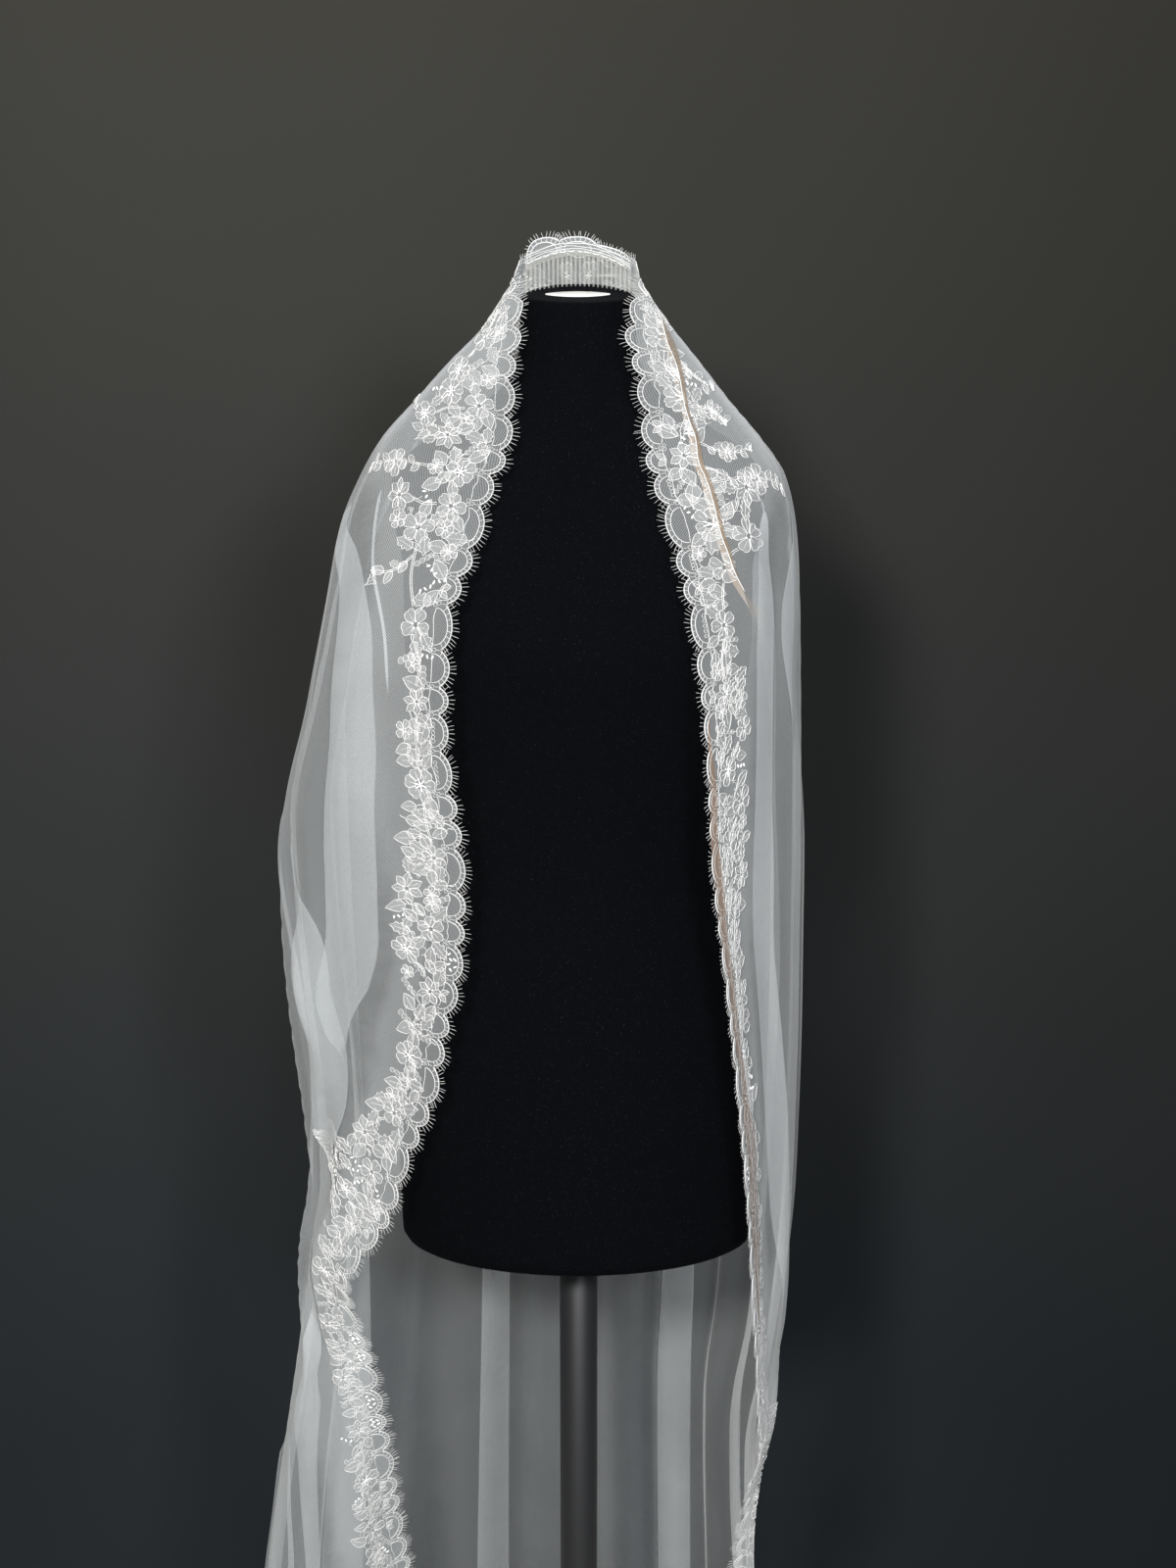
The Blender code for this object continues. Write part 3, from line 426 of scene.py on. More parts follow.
class Drape:
    """The veil's surface, by place round the section (0 left edge to 8 right edge) and height."""

    LAST = 8.0                  # the right edge's place
    BACK = 4.0                  # the place of the back's middle
    LEVEL = 10.0                # the height from one measured section to the next

    def __init__(self) -> None:
        """Reads the tables and measures the sections."""
        names = Side._fields[1:]
        self.sides = [{n: column(rows, n) for n in names} for rows in (LEFT, RIGHT)]
        self.back = column(BACK, "y")
        self.fold_tracks = [Track(FOLD_LEVELS, (0.0, *f[3:])) for f in FOLDS]
        self.pleats = [(p, column(p.laps, "root"), column(p.laps, "tip")) for p in PLEATS]
        self.levels = np.linspace(0, 1560, 157)
        self.steps = np.linspace(0, self.LAST, 401)
        self._measure_sections()

    def _stations(self, z: Array) -> Array:
        """The nine plan points that a section runs through.

        Args:
            z: Heights.

        Returns:
            Points as [station, x or y, height].
        """
        back = np.stack([0 * z, self.back(z)])
        out: list = [None] * 9
        for side, first, step in ((self.sides[0], 0, 1), (self.sides[1], 8, -1)):
            g = {n: track(z) for n, track in side.items()}
            edge, fold = np.stack([g["edge_x"], g["edge_y"]]), np.stack([g["fold_x"], g["fold_y"]])
            run = fold - edge
            out_of = quarter(run) * step
            out[first] = edge
            out[first + step] = (edge + fold) / 2 + g["bulge"] * out_of
            out[first + 2 * step] = fold
            out[first + 3 * step] = np.stack(
                [fold[0] * BACK_ROUND, fold[1] + (back[1] - fold[1]) * BACK_ROUND]
            )
        out[4] = back
        return np.stack(out)

    def _plan(self, at: Array, z: Array) -> Array:
        """The section without folds.

        Args:
            at: Places round the section.
            z: Heights.

        Returns:
            Plan points, one a row.
        """
        pts = self._stations(z)
        k = np.clip(np.floor(at).astype(int), 0, 7)
        f = np.clip(at, 0, self.LAST) - k
        n = np.arange(len(k))
        a, b = pts[k, :, n], pts[k + 1, :, n]
        before, after = pts[np.maximum(k - 1, 0), :, n], pts[np.minimum(k + 2, 8), :, n]
        return hermite(a, b, (b - before) / 2, (after - a) / 2, f[:, None])

    def _ridges(self, at: Array, z: Array) -> Array:
        """How far the folds and creases push the sheet outwards.

        Args:
            at: Places round the section.
            z: Heights.

        Returns:
            One distance for each place.
        """
        push = np.zeros(len(at))
        drift = np.clip((FOLD_DRIFT[0] - z) / (FOLD_DRIFT[0] - FOLD_DRIFT[1]), 0, 1)
        for fold, depth in zip(FOLDS, self.fold_tracks):
            middle = fold.at_top + (fold.at_hem - fold.at_top) * drift
            push += depth(z) * np.exp(-(((at - middle) / fold.width) ** 2))
        for crease in CREASES:
            f = (crease.z_top - z) / (crease.z_top - crease.z_end)
            middle = crease.at_top + (crease.at_end - crease.at_top) * f
            fade = np.sin(math.pi * np.clip(f, 0, 1)) ** 0.7
            push += crease.depth * fade * np.exp(-(((at - middle) / crease.width) ** 2))
        return push

    def point(self, at: Array, z: Array, lift: float | Array = 0.0) -> Array:
        """Points of the sheet.

        Args:
            at: Places round the section.
            z: Heights.
            lift: How far they stand off it.

        Returns:
            Points, one a row.
        """
        at, z = np.atleast_1d(at).astype(float), np.atleast_1d(z).astype(float)
        tiny = 0.01
        low, high = np.clip(at - tiny, 0, self.LAST), np.clip(at + tiny, 0, self.LAST)
        run = unit(self._plan(high, z) - self._plan(low, z))
        push = (self._ridges(at, z) + lift)[:, None]
        xy = self._plan(at, z) + push * np.stack([-run[:, 1], run[:, 0]], 1)
        return np.column_stack([xy, z])

    def _measure_sections(self) -> None:
        """Measures each level section from the middle of the back, and the inverse."""
        grid = [self.point(self.steps, np.full(len(self.steps), z)) for z in self.levels]
        runs = [np.linalg.norm(np.diff(g[:, :2], axis=0), axis=1) for g in grid]
        ways = np.array([np.concatenate([[0], np.cumsum(r)]) for r in runs])
        middle = np.array([np.interp(self.BACK, self.steps, w) for w in ways])
        self.ways = ways - middle[:, None]
        self.first, self.last = self.ways[:, 0], self.ways[:, -1]
        share = np.linspace(0, 1, 801)
        rows = zip(self.first, self.last, self.ways)
        self.inverse = np.array([np.interp(a + (b - a) * share, w, self.steps) for a, b, w in rows])

    def at_of(self, way: Array, z: Array) -> Array:
        """The place round the section at a way along it.

        Args:
            way: Ways from the middle of the back.
            z: Heights.

        Returns:
            Places, 0 to 8.
        """
        first, last = np.interp(z, self.levels, self.first), np.interp(z, self.levels, self.last)
        share = np.clip((way - first) / (last - first), 0, 1)
        return self._read(self.inverse, share * (self.inverse.shape[1] - 1), z)

    def way_of(self, at: Array, z: Array) -> Array:
        """The ways along the section, from the back's middle, of places (0 to 8) round it."""
        step = np.clip(np.asarray(at) / self.LAST * (len(self.steps) - 1), 0, len(self.steps) - 1.001)
        return self._read(self.ways, step, z)

    def _read(self, grid: Array, place: Array, z: Array) -> Array:
        """Reads one of the measured grids between its levels and its columns.

        Args:
            grid: Values as [level, column].
            place: Columns, with their fractions.
            z: Heights.

        Returns:
            One value for each place.
        """
        row = np.clip(np.asarray(z) / self.LEVEL, 0, len(self.levels) - 1.001)
        i, j = row.astype(int), np.minimum(place.astype(int), grid.shape[1] - 2)
        fi, fj = row - i, place - j
        return (
            grid[i, j] * (1 - fi) * (1 - fj) + grid[i + 1, j] * fi * (1 - fj)
            + grid[i, j + 1] * (1 - fi) * fj + grid[i + 1, j + 1] * fi * fj
        )

    def laid(self, flat: Array) -> tuple[Array, Array, Array]:
        """Where the laid-over folds carry flat places.

        Args:
            flat: Rows of (way, height).

        Returns:
            The flat places that they lie over, how far they stand off, and their share of painted tan
            shade.
        """
        out, lift, tan = flat.copy(), np.zeros(len(flat)), np.zeros(len(flat))
        for pleat, root, tip in self.pleats:
            top, end = pleat.laps[0].z, pleat.laps[-1].z
            rows = np.flatnonzero((flat[:, 1] < top) & (flat[:, 1] > end))
            z = flat[rows, 1]
            a, b = root(z), tip(z)
            sign = math.copysign(1.0, pleat.laps[1].tip - pleat.laps[1].root)
            reach = pleat_reach(np.abs(b - a))
            u = (flat[rows, 0] - (a + b) / 2) * sign
            inside = np.abs(u) < reach
            rows, z, u, reach = rows[inside], z[inside], u[inside], reach[inside]
            half = np.abs(b - a)[inside] / 2
            t = (u + reach) / (2 * reach)
            knots = (0.0, *PLEAT_TURNS, 1.0)
            places, slopes = (-reach, half, -half, reach), (2 * reach, 0 * u, 0 * u, 2 * reach)
            x = np.zeros(len(t))
            for k in range(3):
                gap = knots[k + 1] - knots[k]
                value = hermite(places[k], places[k + 1], slopes[k] * gap, slopes[k + 1] * gap,
                                np.clip((t - knots[k]) / gap, 0, 1))
                x = np.where((t >= knots[k]) & (t <= knots[k + 1]), value, x)
            fade = np.minimum((top - z) / PLEAT_FADES[0], (z - end) / PLEAT_FADES[1])
            fade = ease(np.clip(fade, 0, 1))
            rise, crest, fall = PLEAT_CREST
            off = np.where(t < crest, ease(np.clip(t / rise, 0, 1)),
                           1 - ease(np.clip((t - crest) / fall, 0, 1)))
            out[rows, 0] += sign * (x - u) * fade
            lift[rows] += pleat.lift * off * fade
            # painted shade: a tan band inside the fold, where warm reflected light and shade fall
            tan[rows] += pleat.tan * fade * np.clip(4.5 - np.abs(t - PLEAT_SHADE_AT) * 18, 0, 1)
        return out, lift, tan

    def surface(self, flat: Array) -> Array:
        """Points of the sheet for flat places, rows of (way, height)."""
        laid, lift, _ = self.laid(flat)
        return self.point(self.at_of(laid[:, 0], laid[:, 1]), laid[:, 1], lift)

    def normal(self, flat: Array) -> Array:
        """The sheet's outward normals.

        Args:
            flat: Rows of (way, height).

        Returns:
            Unit vectors, one a row.
        """
        laid = self.laid(flat)[0]
        at, z = self.at_of(laid[:, 0], laid[:, 1]), flat[:, 1]
        low, high = np.clip(at - NORMAL_AT, 0, self.LAST), np.clip(at + NORMAL_AT, 0, self.LAST)
        across = self.point(high, z) - self.point(low, z)
        down = self.point(at, z + NORMAL_Z) - self.point(at, z - NORMAL_Z)
        return unit(np.cross(down, across))


class Edge:
    """One half of the sheet's edge, from the crown to the hem, as a band map (s, d) to flat."""

    def __init__(self, drape: Drape, half: Half) -> None:
        """Traces the edge and finds which way the cloth lies.

        Args:
            drape: The veil's surface.
            half: Which half of the border.
        """
        self.drape, self.half = drape, half
        path = self._trace()
        points = drape.surface(path)
        runs = np.linalg.norm(np.diff(points, axis=0), axis=1)
        s = np.concatenate([[0], np.cumsum(runs)])
        self.length = float(s[-1])
        self.scallops = int(round(self.length / SCALLOP_PITCH))
        self.pitch = self.length / self.scallops
        self.even = np.linspace(0, self.length, int(self.length / 3))
        self.path = np.column_stack([np.interp(self.even, s, path[:, k]) for k in (0, 1)])
        lined = np.column_stack([np.interp(self.even, s, points[:, k]) for k in (0, 1, 2)])
        self.inward = self._find_inward(lined)
        self.cusps = self._find_cusps()
        self.cusp_in = np.full(len(self.cusps), SCALLOP_DEPTH)
        self.crest_in = np.zeros(len(self.cusps))
        for n, row in enumerate(CROWN_SCALLOPS[half]):
            self.cusp_in[n], self.crest_in[n] = row

    def _find_cusps(self) -> Array:
        """Where the scallops meet: broad and narrow ones take turns as the pattern repeats."""
        s = np.arange(-self.pitch, self.length + self.pitch, 0.5)
        calm = np.clip((self.length - s) / 150.0, 0, 1)
        swing = np.cos(2 * math.pi * s / (SCALLOP_SWING_OVER * self.pitch)) - 1
        phase = s / self.pitch + SCALLOP_SWING * calm * swing
        cusps = np.interp(np.arange(self.scallops + 2) - 0.5, phase, s)
        cusps[0] = -cusps[1]
        return cusps

    def _trace(self) -> Array:
        """The line of the lash tips.

        Returns:
            Flat places, about 3 mm apart.
        """
        drape, left = self.drape, self.half is Half.LEFT
        rows = LEFT_SWEEP if left else RIGHT_SWEEP
        end = 0.0 if left else drape.LAST
        corner = drape.way_of(end, CORNER_Z)
        across = np.linspace(0, 1, 16)[:-1]
        rise = (CROWN_Z + LASH_LENGTH - CORNER_Z) * (1 - across ** 2.4)
        crown = np.column_stack([corner * across, CORNER_Z + rise])
        down = np.arange(CORNER_Z, rows[0].z, -3.0)
        front = np.column_stack([drape.way_of(np.full(len(down), end), down), down])
        sweep = Track([abs(r.at - end) for r in rows], [r.z for r in rows])
        over = 4.0 * np.linspace(0, 1, 500) ** 1.5
        low = sweep(over)
        hem = np.column_stack([drape.way_of(end + over * (1 if left else -1), low), low])
        return np.vstack([crown, front, hem])

    def _find_inward(self, points: Array) -> Array:
        """Flat directions into the cloth at right angles to its edge.

        Args:
            points: The edge's points, one each step.

        Returns:
            Flat directions, each a millimetre long on the cloth.
        """
        drape, path = self.drape, self.path
        along = smooth(np.gradient(points, axis=0), 5)
        inside = path + 5.0 * unit(np.array([0.0, 900.0]) - path)
        normal = smooth(drape.normal(inside), 5)
        into = unit(np.cross(normal, along)) * self.half.sign
        across = drape.surface(inside + [1, 0]) - drape.surface(inside - [1, 0])
        down = drape.surface(inside + [0, 1]) - drape.surface(inside - [0, 1])
        across, down = smooth(across / 2, 5), smooth(down / 2, 5)
        aa, ab, bb = (np.sum(p * q, 1) for p, q in ((across, across), (across, down), (down, down)))
        ia, ib = np.sum(into * across, 1), np.sum(into * down, 1)
        spread = aa * bb - ab * ab
        flat = smooth(np.column_stack([(ia * bb - ib * ab) / spread, (ib * aa - ia * ab) / spread]), 9)
        end = self.length - self.even
        flat[:, 0] *= np.clip(self.even / CROWN_TURN, 0, 1) * np.clip(end / HEM_TURN, 0, 1)
        return flat

    def numbers(self) -> range:
        """The scallops that this half draws: the left half draws the two that both share."""
        return range(self.scallops + 1) if self.half is Half.LEFT else range(1, self.scallops)

    def flat(self, band: Array) -> Array:
        """Flat places for places in the border.

        Args:
            band: Rows of (s, d).

        Returns:
            Rows of (way, height).
        """
        s, d = band[:, 0], band[:, 1]
        base = [np.interp(s, self.even, self.path[:, k]) for k in (0, 1)]
        into = [np.interp(s, self.even, self.inward[:, k]) for k in (0, 1)]
        return np.column_stack([base[k] + into[k] * d for k in (0, 1)])

    def inset(self, s: Array) -> Array:
        """How far in from the scallops' crests the net's edge lies, at ways along it."""
        k = np.clip(np.searchsorted(self.cusps, s) - 1, 0, len(self.cusps) - 2)
        start, end = self.cusps[k], self.cusps[k + 1]
        off = (s - (start + end) / 2) / (end - start) * SCALLOP_PITCH
        share = (SCALLOP_R - np.sqrt(SCALLOP_R ** 2 - off ** 2)) / SCALLOP_DEPTH
        cusp = np.where(off < 0, self.cusp_in[k], self.cusp_in[k + 1])
        return self.crest_in[k] + (cusp - self.crest_in[k]) * share

    def bend(self, n: int, even: Array) -> Array:
        """Carries places of an even scallop to one of the border's own.

        Args:
            n: The scallop's number from the crown.
            even: Rows of (place across it from its middle, d).

        Returns:
            Rows of (s, d).
        """
        start, end = self.cusps[n], self.cusps[n + 1]
        s = (start + end) / 2 + even[:, 0] * (end - start) / SCALLOP_PITCH
        off = np.clip(even[:, 0], -SCALLOP_PITCH / 2, SCALLOP_PITCH / 2)
        own = self.inset(np.clip(s, start + 1e-6, end - 1e-6))
        return np.column_stack([s, even[:, 1] + own - SCALLOP_R + np.sqrt(SCALLOP_R ** 2 - off ** 2)])


class Rim:
    """The whole border as one loop: a place past either middle join goes on in the other half."""

    def __init__(self, drape: Drape) -> None:
        """Builds both halves on the veil's surface."""
        self.drape = drape
        self.edges = {half: Edge(drape, half) for half in Half}

    def flat(self, half: Half, band: Array) -> Array:
        """Flat places for places in the border.

        Args:
            half: The half that s is measured in.
            band: Rows of (s, d).

        Returns:
            Rows of (way, height).
        """
        own = self.edges[half]
        other = self.edges[Half.RIGHT if half is Half.LEFT else Half.LEFT]
        out = own.flat(band)
        before, after = band[:, 0] < 0, band[:, 0] > own.length
        if before.any():
            out[before] = other.flat(np.column_stack([-band[before, 0], band[before, 1]]))
        if after.any():
            past = other.length - (band[after, 0] - own.length)
            out[after] = other.flat(np.column_stack([past, band[after, 1]]))
        return out


# --- making meshes and nodes ---------------------------------------------------------------
def linear(code: str) -> Colour:
    """The linear colour of an sRGB hex code.

    Args:
        code: Such as "#f2efe8".

    Returns:
        Red, green, blue and 1.
    """
    parts = [int(code[k:k + 2], 16) / 255 for k in (1, 3, 5)]
    red, green, blue = (v / 12.92 if v <= 0.04045 else ((v + 0.055) / 1.055) ** 2.4 for v in parts)
    return (red, green, blue, 1.0)


class Shader:
    """The node tree of a material or of the world, filled node by node."""

    def __init__(self, owner: Material | bpy.types.World) -> None:
        """Empties the owner's tree."""
        owner.use_nodes = True
        self.owner, self.tree = owner, owner.node_tree
        self.tree.nodes.clear()

    def add(self, kind: str, inputs: Optional[dict] = None, **settings) -> Node:
        """Adds a node with its settings and links.

        Args:
            kind: The node's type, without its "ShaderNode".
            inputs: Input name or number to a value, a socket, or a node whose first output feeds it.
            **settings: The node's own properties.

        Returns:
            The node.
        """
        node = self.tree.nodes.new("ShaderNode" + kind)
        for name, value in settings.items():
            setattr(node, name, value)
        for key, value in (inputs or {}).items():
            if isinstance(value, Node):
                value = value.outputs[0]
            if isinstance(value, bpy.types.NodeSocket):
                self.tree.links.new(value, node.inputs[key])
            else:
                node.inputs[key].default_value = value
        return node


def make_piece(
    name: str, points: Array, faces: Array, material: Material, slot: str,
    uv: Optional[Array] = None, marks: Optional[dict[str, Array]] = None,
) -> Piece:
    """One named piece that rides on the body.

    Args:
        name: The piece's name.
        points: Corners in millimetres, one a row.
        faces: Corner numbers, one face a row, all of one size.
        material: Its finish.
        slot: A material slot's name; not used.
        uv: A flat place for each corner, in metres.
        marks: Named values, one for each corner.

    Returns:
        The object.
    """
    mesh = bpy.data.meshes.new(name)
    count, size = faces.shape
    loops = np.ascontiguousarray(faces, dtype=np.int32).ravel()
    mesh.vertices.add(len(points))
    mesh.vertices.foreach_set("co", np.ascontiguousarray(points * MM, dtype=np.float32).ravel())
    mesh.loops.add(len(loops))
    mesh.loops.foreach_set("vertex_index", loops)
    mesh.polygons.add(count)
    mesh.polygons.foreach_set("loop_start", np.arange(count, dtype=np.int32) * size)
    mesh.polygons.foreach_set("loop_total", np.full(count, size, dtype=np.int32))
    if uv is not None:
        layer = mesh.uv_layers.new(name="Flat")
        layer.data.foreach_set("uv", np.ascontiguousarray(uv[loops], dtype=np.float32).ravel())
    for mark, values in (marks or {}).items():
        layer = mesh.attributes.new(mark, "FLOAT", "POINT")
        layer.data.foreach_set("value", np.ascontiguousarray(values, dtype=np.float32))
    mesh.update(calc_edges=True)
    mesh.validate()
    mesh.shade_smooth()
    piece = bpy.data.objects.new(name, mesh)
    bpy.context.collection.objects.link(piece)
    mesh.materials.append(material)
    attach(piece, ROOT)
    LOG.info("%s: %d faces", name, count)
    return piece


def loft(rings: Array) -> Mesh:
    """Triangles through rings of equal count, closed by a fan at each end.

    Args:
        rings: Points as [ring, corner, axis], each ring turning anticlockwise about its way on.

    Returns:
        The points and the faces.
    """
    count, sides = rings.shape[:2]
    points = rings.reshape(-1, 3)
    i, j = np.meshgrid(np.arange(count - 1), np.arange(sides), indexing="ij")
    a, b = i * sides + j, i * sides + (j + 1) % sides
    quads = np.stack([a, b, b + sides, a + sides], -1).reshape(-1, 4)
    low, top, last = len(points), len(points) + 1, (count - 1) * sides
    points = np.vstack([points, rings[0].mean(0), rings[-1].mean(0)])
    k = np.arange(sides)
    start = np.column_stack([(k + 1) % sides, k, np.full(sides, low)])
    end = np.column_stack([last + k, last + (k + 1) % sides, np.full(sides, top)])
    return points, np.vstack([quads[:, [0, 1, 2]], quads[:, [0, 2, 3]], start, end])


def grid_faces(rows: int, count: int) -> Array:
    """Quads between rows of points that are numbered one row after another."""
    i, j = np.meshgrid(np.arange(rows - 1), np.arange(count - 1), indexing="ij")
    a = (i * count + j).ravel()
    return np.column_stack([a, a + 1, a + count + 1, a + count])


def join(parts: Iterable[Mesh]) -> Mesh:
    """Several sets of points and faces as one.

    Args:
        parts: Pairs of points and faces.

    Returns:
        The points and the faces.
    """
    points, faces, start = [], [], 0
    for some, ring in parts:
        points.append(some)
        faces.append(ring + start)
        start += len(some)
    return np.vstack(points), np.vstack(faces)


# --- finishes ------------------------------------------------------------------------------
@dataclass(frozen=True)
class Finish:
    """A real material: each kind lays its own nodes."""

    name: str

    def surface(self, add: Adder) -> Node:
        """Lays the nodes.

        Args:
            add: Adds one of them.

        Returns:
            The shader that they end in.
        """
        raise NotImplementedError

    def build(self) -> Material:
        """Makes the material."""
        shader = Shader(bpy.data.materials.new(self.name))
        shader.add("OutputMaterial", {"Surface": self.surface(shader.add)})
        return shader.owner


@dataclass(frozen=True)
class TulleNet(Finish):
    """Silk-soft nylon tulle, knitted as fine hexagons.

    One layer is a thin cool haze. It thickens where the sheet turns edge-on, which draws the
    bright lines along its folds.
    """

    name: str = "silk_tulle"
    thread: str = "#e9edee"
    cell_mm: float = 1.2        # the real cell is about 1 mm: drawn a little coarser to show
    cover: float = 0.13         # share of the ground that the threads hide, seen straight on
    lace_cover: float = 0.11    # more of it where the border's closer ground lies
    thinnest: float = 0.2       # the least cosine that the haze is worked out for
    drift_m: float = 1 / 9      # metres over which the gauge drifts
    tan_cover: float = 0.35     # how much more the cloth hides in a pleat's painted tan shade
    shade: str = "#a98e6c"      # painted tan shade and warm reflected light inside a pleat in the lace

    def surface(self, add: Adder) -> Node:
        """Lays the nodes and returns the shader that they end in."""
        place = add("UVMap", uv_map="Flat")
        split = add("SeparateXYZ", {0: place})
        waves = []
        for turn in (0.0, math.pi / 3, 2 * math.pi / 3):
            rate = 4 * math.pi / (math.sqrt(3) * self.cell_mm * MM)
            along = add("Math", {0: split.outputs["X"], 1: rate * math.cos(turn)}, operation="MULTIPLY")
            both = add("Math", {0: split.outputs["Y"], 1: rate * math.sin(turn), 2: along},
                       operation="MULTIPLY_ADD")
            waves.append(add("Math", {0: both}, operation="COSINE"))
        pair = add("Math", {0: waves[0], 1: waves[1]}, operation="ADD")
        three = add("Math", {0: pair, 1: waves[2]}, operation="ADD")
        cell = add("MapRange", {"Value": three, "From Min": -1.5, "From Max": 0.6, "To Min": 1.65,
                                "To Max": 0.5})
        slow = add("TexNoise", {"Vector": place, "Scale": 1.0 / self.drift_m, "Detail": 3.0})
        drift = add("MapRange", {"Value": slow, "To Min": 0.8, "To Max": 1.2})
        local = add("Math", {0: cell, 1: drift}, operation="MULTIPLY")
        # painted shade: inside a pleat the thread turns tan and hides more, standing in for the fold's
        # shade
        tan = add("Attribute", attribute_name="pleat_painted_shade").outputs["Fac"]
        thicker = add("Math", {0: tan, 1: self.tan_cover}, operation="MULTIPLY")
        ground = add("Attribute", attribute_name="lace_ground").outputs["Fac"]
        share = add("Math", {0: ground, 1: self.lace_cover, 2: self.cover}, operation="MULTIPLY_ADD")
        front = add("Math", {0: local, 1: share, 2: thicker}, operation="MULTIPLY_ADD")
        tone = add("Mix", {0: tan, 6: linear(self.thread), 7: linear(self.shade)}, data_type="RGBA")
        facing = add("LayerWeight", {"Blend": 0.5}).outputs["Facing"]
        cosine = add("Math", {0: 1.0, 1: facing}, operation="SUBTRACT")
        least = add("Math", {0: cosine, 1: self.thinnest}, operation="MAXIMUM")
        layers = add("Math", {0: 1.0, 1: least}, operation="DIVIDE")
        open_share = add("Math", {0: 1.0, 1: front}, operation="SUBTRACT")
        seen = add("Math", {0: open_share, 1: layers}, operation="POWER")
        cover = add("Math", {0: 1.0, 1: seen}, operation="SUBTRACT", use_clamp=True)
        cloth = add("BsdfPrincipled", {"Base Color": tone.outputs[2], "Roughness": 0.6,
                                       "Specular IOR Level": 0.4, "Sheen Weight": 0.3,
                                       "Sheen Roughness": 0.4})
        through = add("BsdfTranslucent", {"Color": tone.outputs[2]})
        thread = add("MixShader", {0: 0.35, 1: cloth, 2: through})
        clear = add("BsdfTransparent")
        return add("MixShader", {0: cover, 1: clear, 2: thread})


@dataclass(frozen=True)
class CottonCord(Finish):
    """Corded lace: a plied cotton gimp laid round each motif, soft white with a slight twist."""

    name: str = "cotton_gimp"
    crest: str = "#f2f2f1"
    # painted shade: the ply's grooves are coloured darker where its bump lies low
    groove: str = "#d6d6d3"
    ply_mm: float = 1.1         # length of one turn of the ply

    def surface(self, add: Adder) -> Node:
        """Lays the nodes and returns the shader that they end in."""
        place = add("TexCoord").outputs["Object"]
        ply = add("TexNoise", {"Vector": place, "Scale": 1.0 / (self.ply_mm * MM), "Detail": 2.0})
        # the bump's low parts take the darker groove colour as painted shade
        tone = add("Mix", {0: ply, 6: linear(self.groove), 7: linear(self.crest)}, data_type="RGBA")
        bump = add("Bump", {"Height": ply, "Strength": 0.5, "Distance": 0.15 * MM})
        cord = add("BsdfPrincipled", {"Base Color": tone.outputs[2], "Roughness": 0.55,
                                      "Sheen Weight": 0.35, "Sheen Roughness": 0.4, "Normal": bump})
        through = add("BsdfTranslucent", {"Color": tone.outputs[2]})
        return add("MixShader", {0: 0.15, 1: cord, 2: through})


@dataclass(frozen=True)
class SatinStitch(Finish):
    """Dense rayon satin stitches: the brightest marks, with a silky gloss across the threads."""

    name: str = "rayon_satin"
    thread: str = "#fdfdfb"
    thread_mm: float = 0.35     # one thread of the stitch

    def surface(self, add: Adder) -> Node:
        """Lays the nodes and returns the shader that they end in."""
        place = add("TexCoord").outputs["Object"]
        grain = add("TexNoise", {"Vector": place, "Scale": 1.0 / (self.thread_mm * MM)})
        bump = add("Bump", {"Height": grain, "Strength": 0.3, "Distance": 0.08 * MM})
        return add("BsdfPrincipled", {"Base Color": linear(self.thread), "Roughness": 0.32,
                                      "Sheen Weight": 0.2, "Normal": bump})


@dataclass(frozen=True)
class PetalFill(Finish):
    """The clothwork inside petals and leaves: close parallel threads that let half through."""

    name: str = "cotton_clothwork"
    thread: str = "#eeefee"
    row_mm: float = 1.3         # real rows are about 0.6 mm: drawn coarser to show
    cover: float = 0.22
    swing: float = 0.15         # how much more a row hides than the gap beside it

    def surface(self, add: Adder) -> Node:
        """Lays the nodes and returns the shader that they end in."""
        place = add("UVMap", uv_map="Flat")
        rows = add("TexWave", {"Vector": place, "Scale": 0.5 / (self.row_mm * MM), "Distortion": 2.0,
                               "Detail": 1.0, "Detail Scale": 0.5})
        cover = add("MapRange", {"Value": rows.outputs["Fac"], "To Min": self.cover - self.swing,
                                 "To Max": self.cover + self.swing})
        cloth = add("BsdfPrincipled", {"Base Color": linear(self.thread), "Roughness": 0.7,
                                       "Sheen Weight": 0.3})
        through = add("BsdfTranslucent", {"Color": linear(self.thread)})
        thread = add("MixShader", {0: 0.3, 1: cloth, 2: through})
        clear = add("BsdfTransparent")
        return add("MixShader", {0: cover, 1: clear, 2: thread})


@dataclass(frozen=True)
class ClearPlastic(Finish):
    """Moulded clear acrylic: hardly tinted, with bright rims on its rounded teeth."""

    name: str = "clear_acrylic"
    tint: str = "#f4f4f1"
    wave_mm: float = 6.25       # the slow waviness of a moulded face

    def surface(self, add: Adder) -> Node:
        """Lays the nodes and returns the shader that they end in."""
        place = add("TexCoord").outputs["Object"]
        flow = add("TexNoise", {"Vector": place, "Scale": 1.0 / (self.wave_mm * MM)})
        rough = add("MapRange", {"Value": flow, "To Min": 0.2, "To Max": 0.3})
        shine = add("BsdfPrincipled", {"Base Color": linear(self.tint), "Roughness": rough,
                                       "IOR": 1.49})
        clear = add("BsdfTransparent", {"Color": linear(self.tint)})
        rim = add("LayerWeight", {"Blend": 0.5}).outputs["Facing"]
        cover = add("MapRange", {"Value": rim, "From Min": 0.2, "From Max": 0.8, "To Min": 0.1,
                                 "To Max": 0.85})
        return add("MixShader", {0: cover, 1: clear, 2: shine})


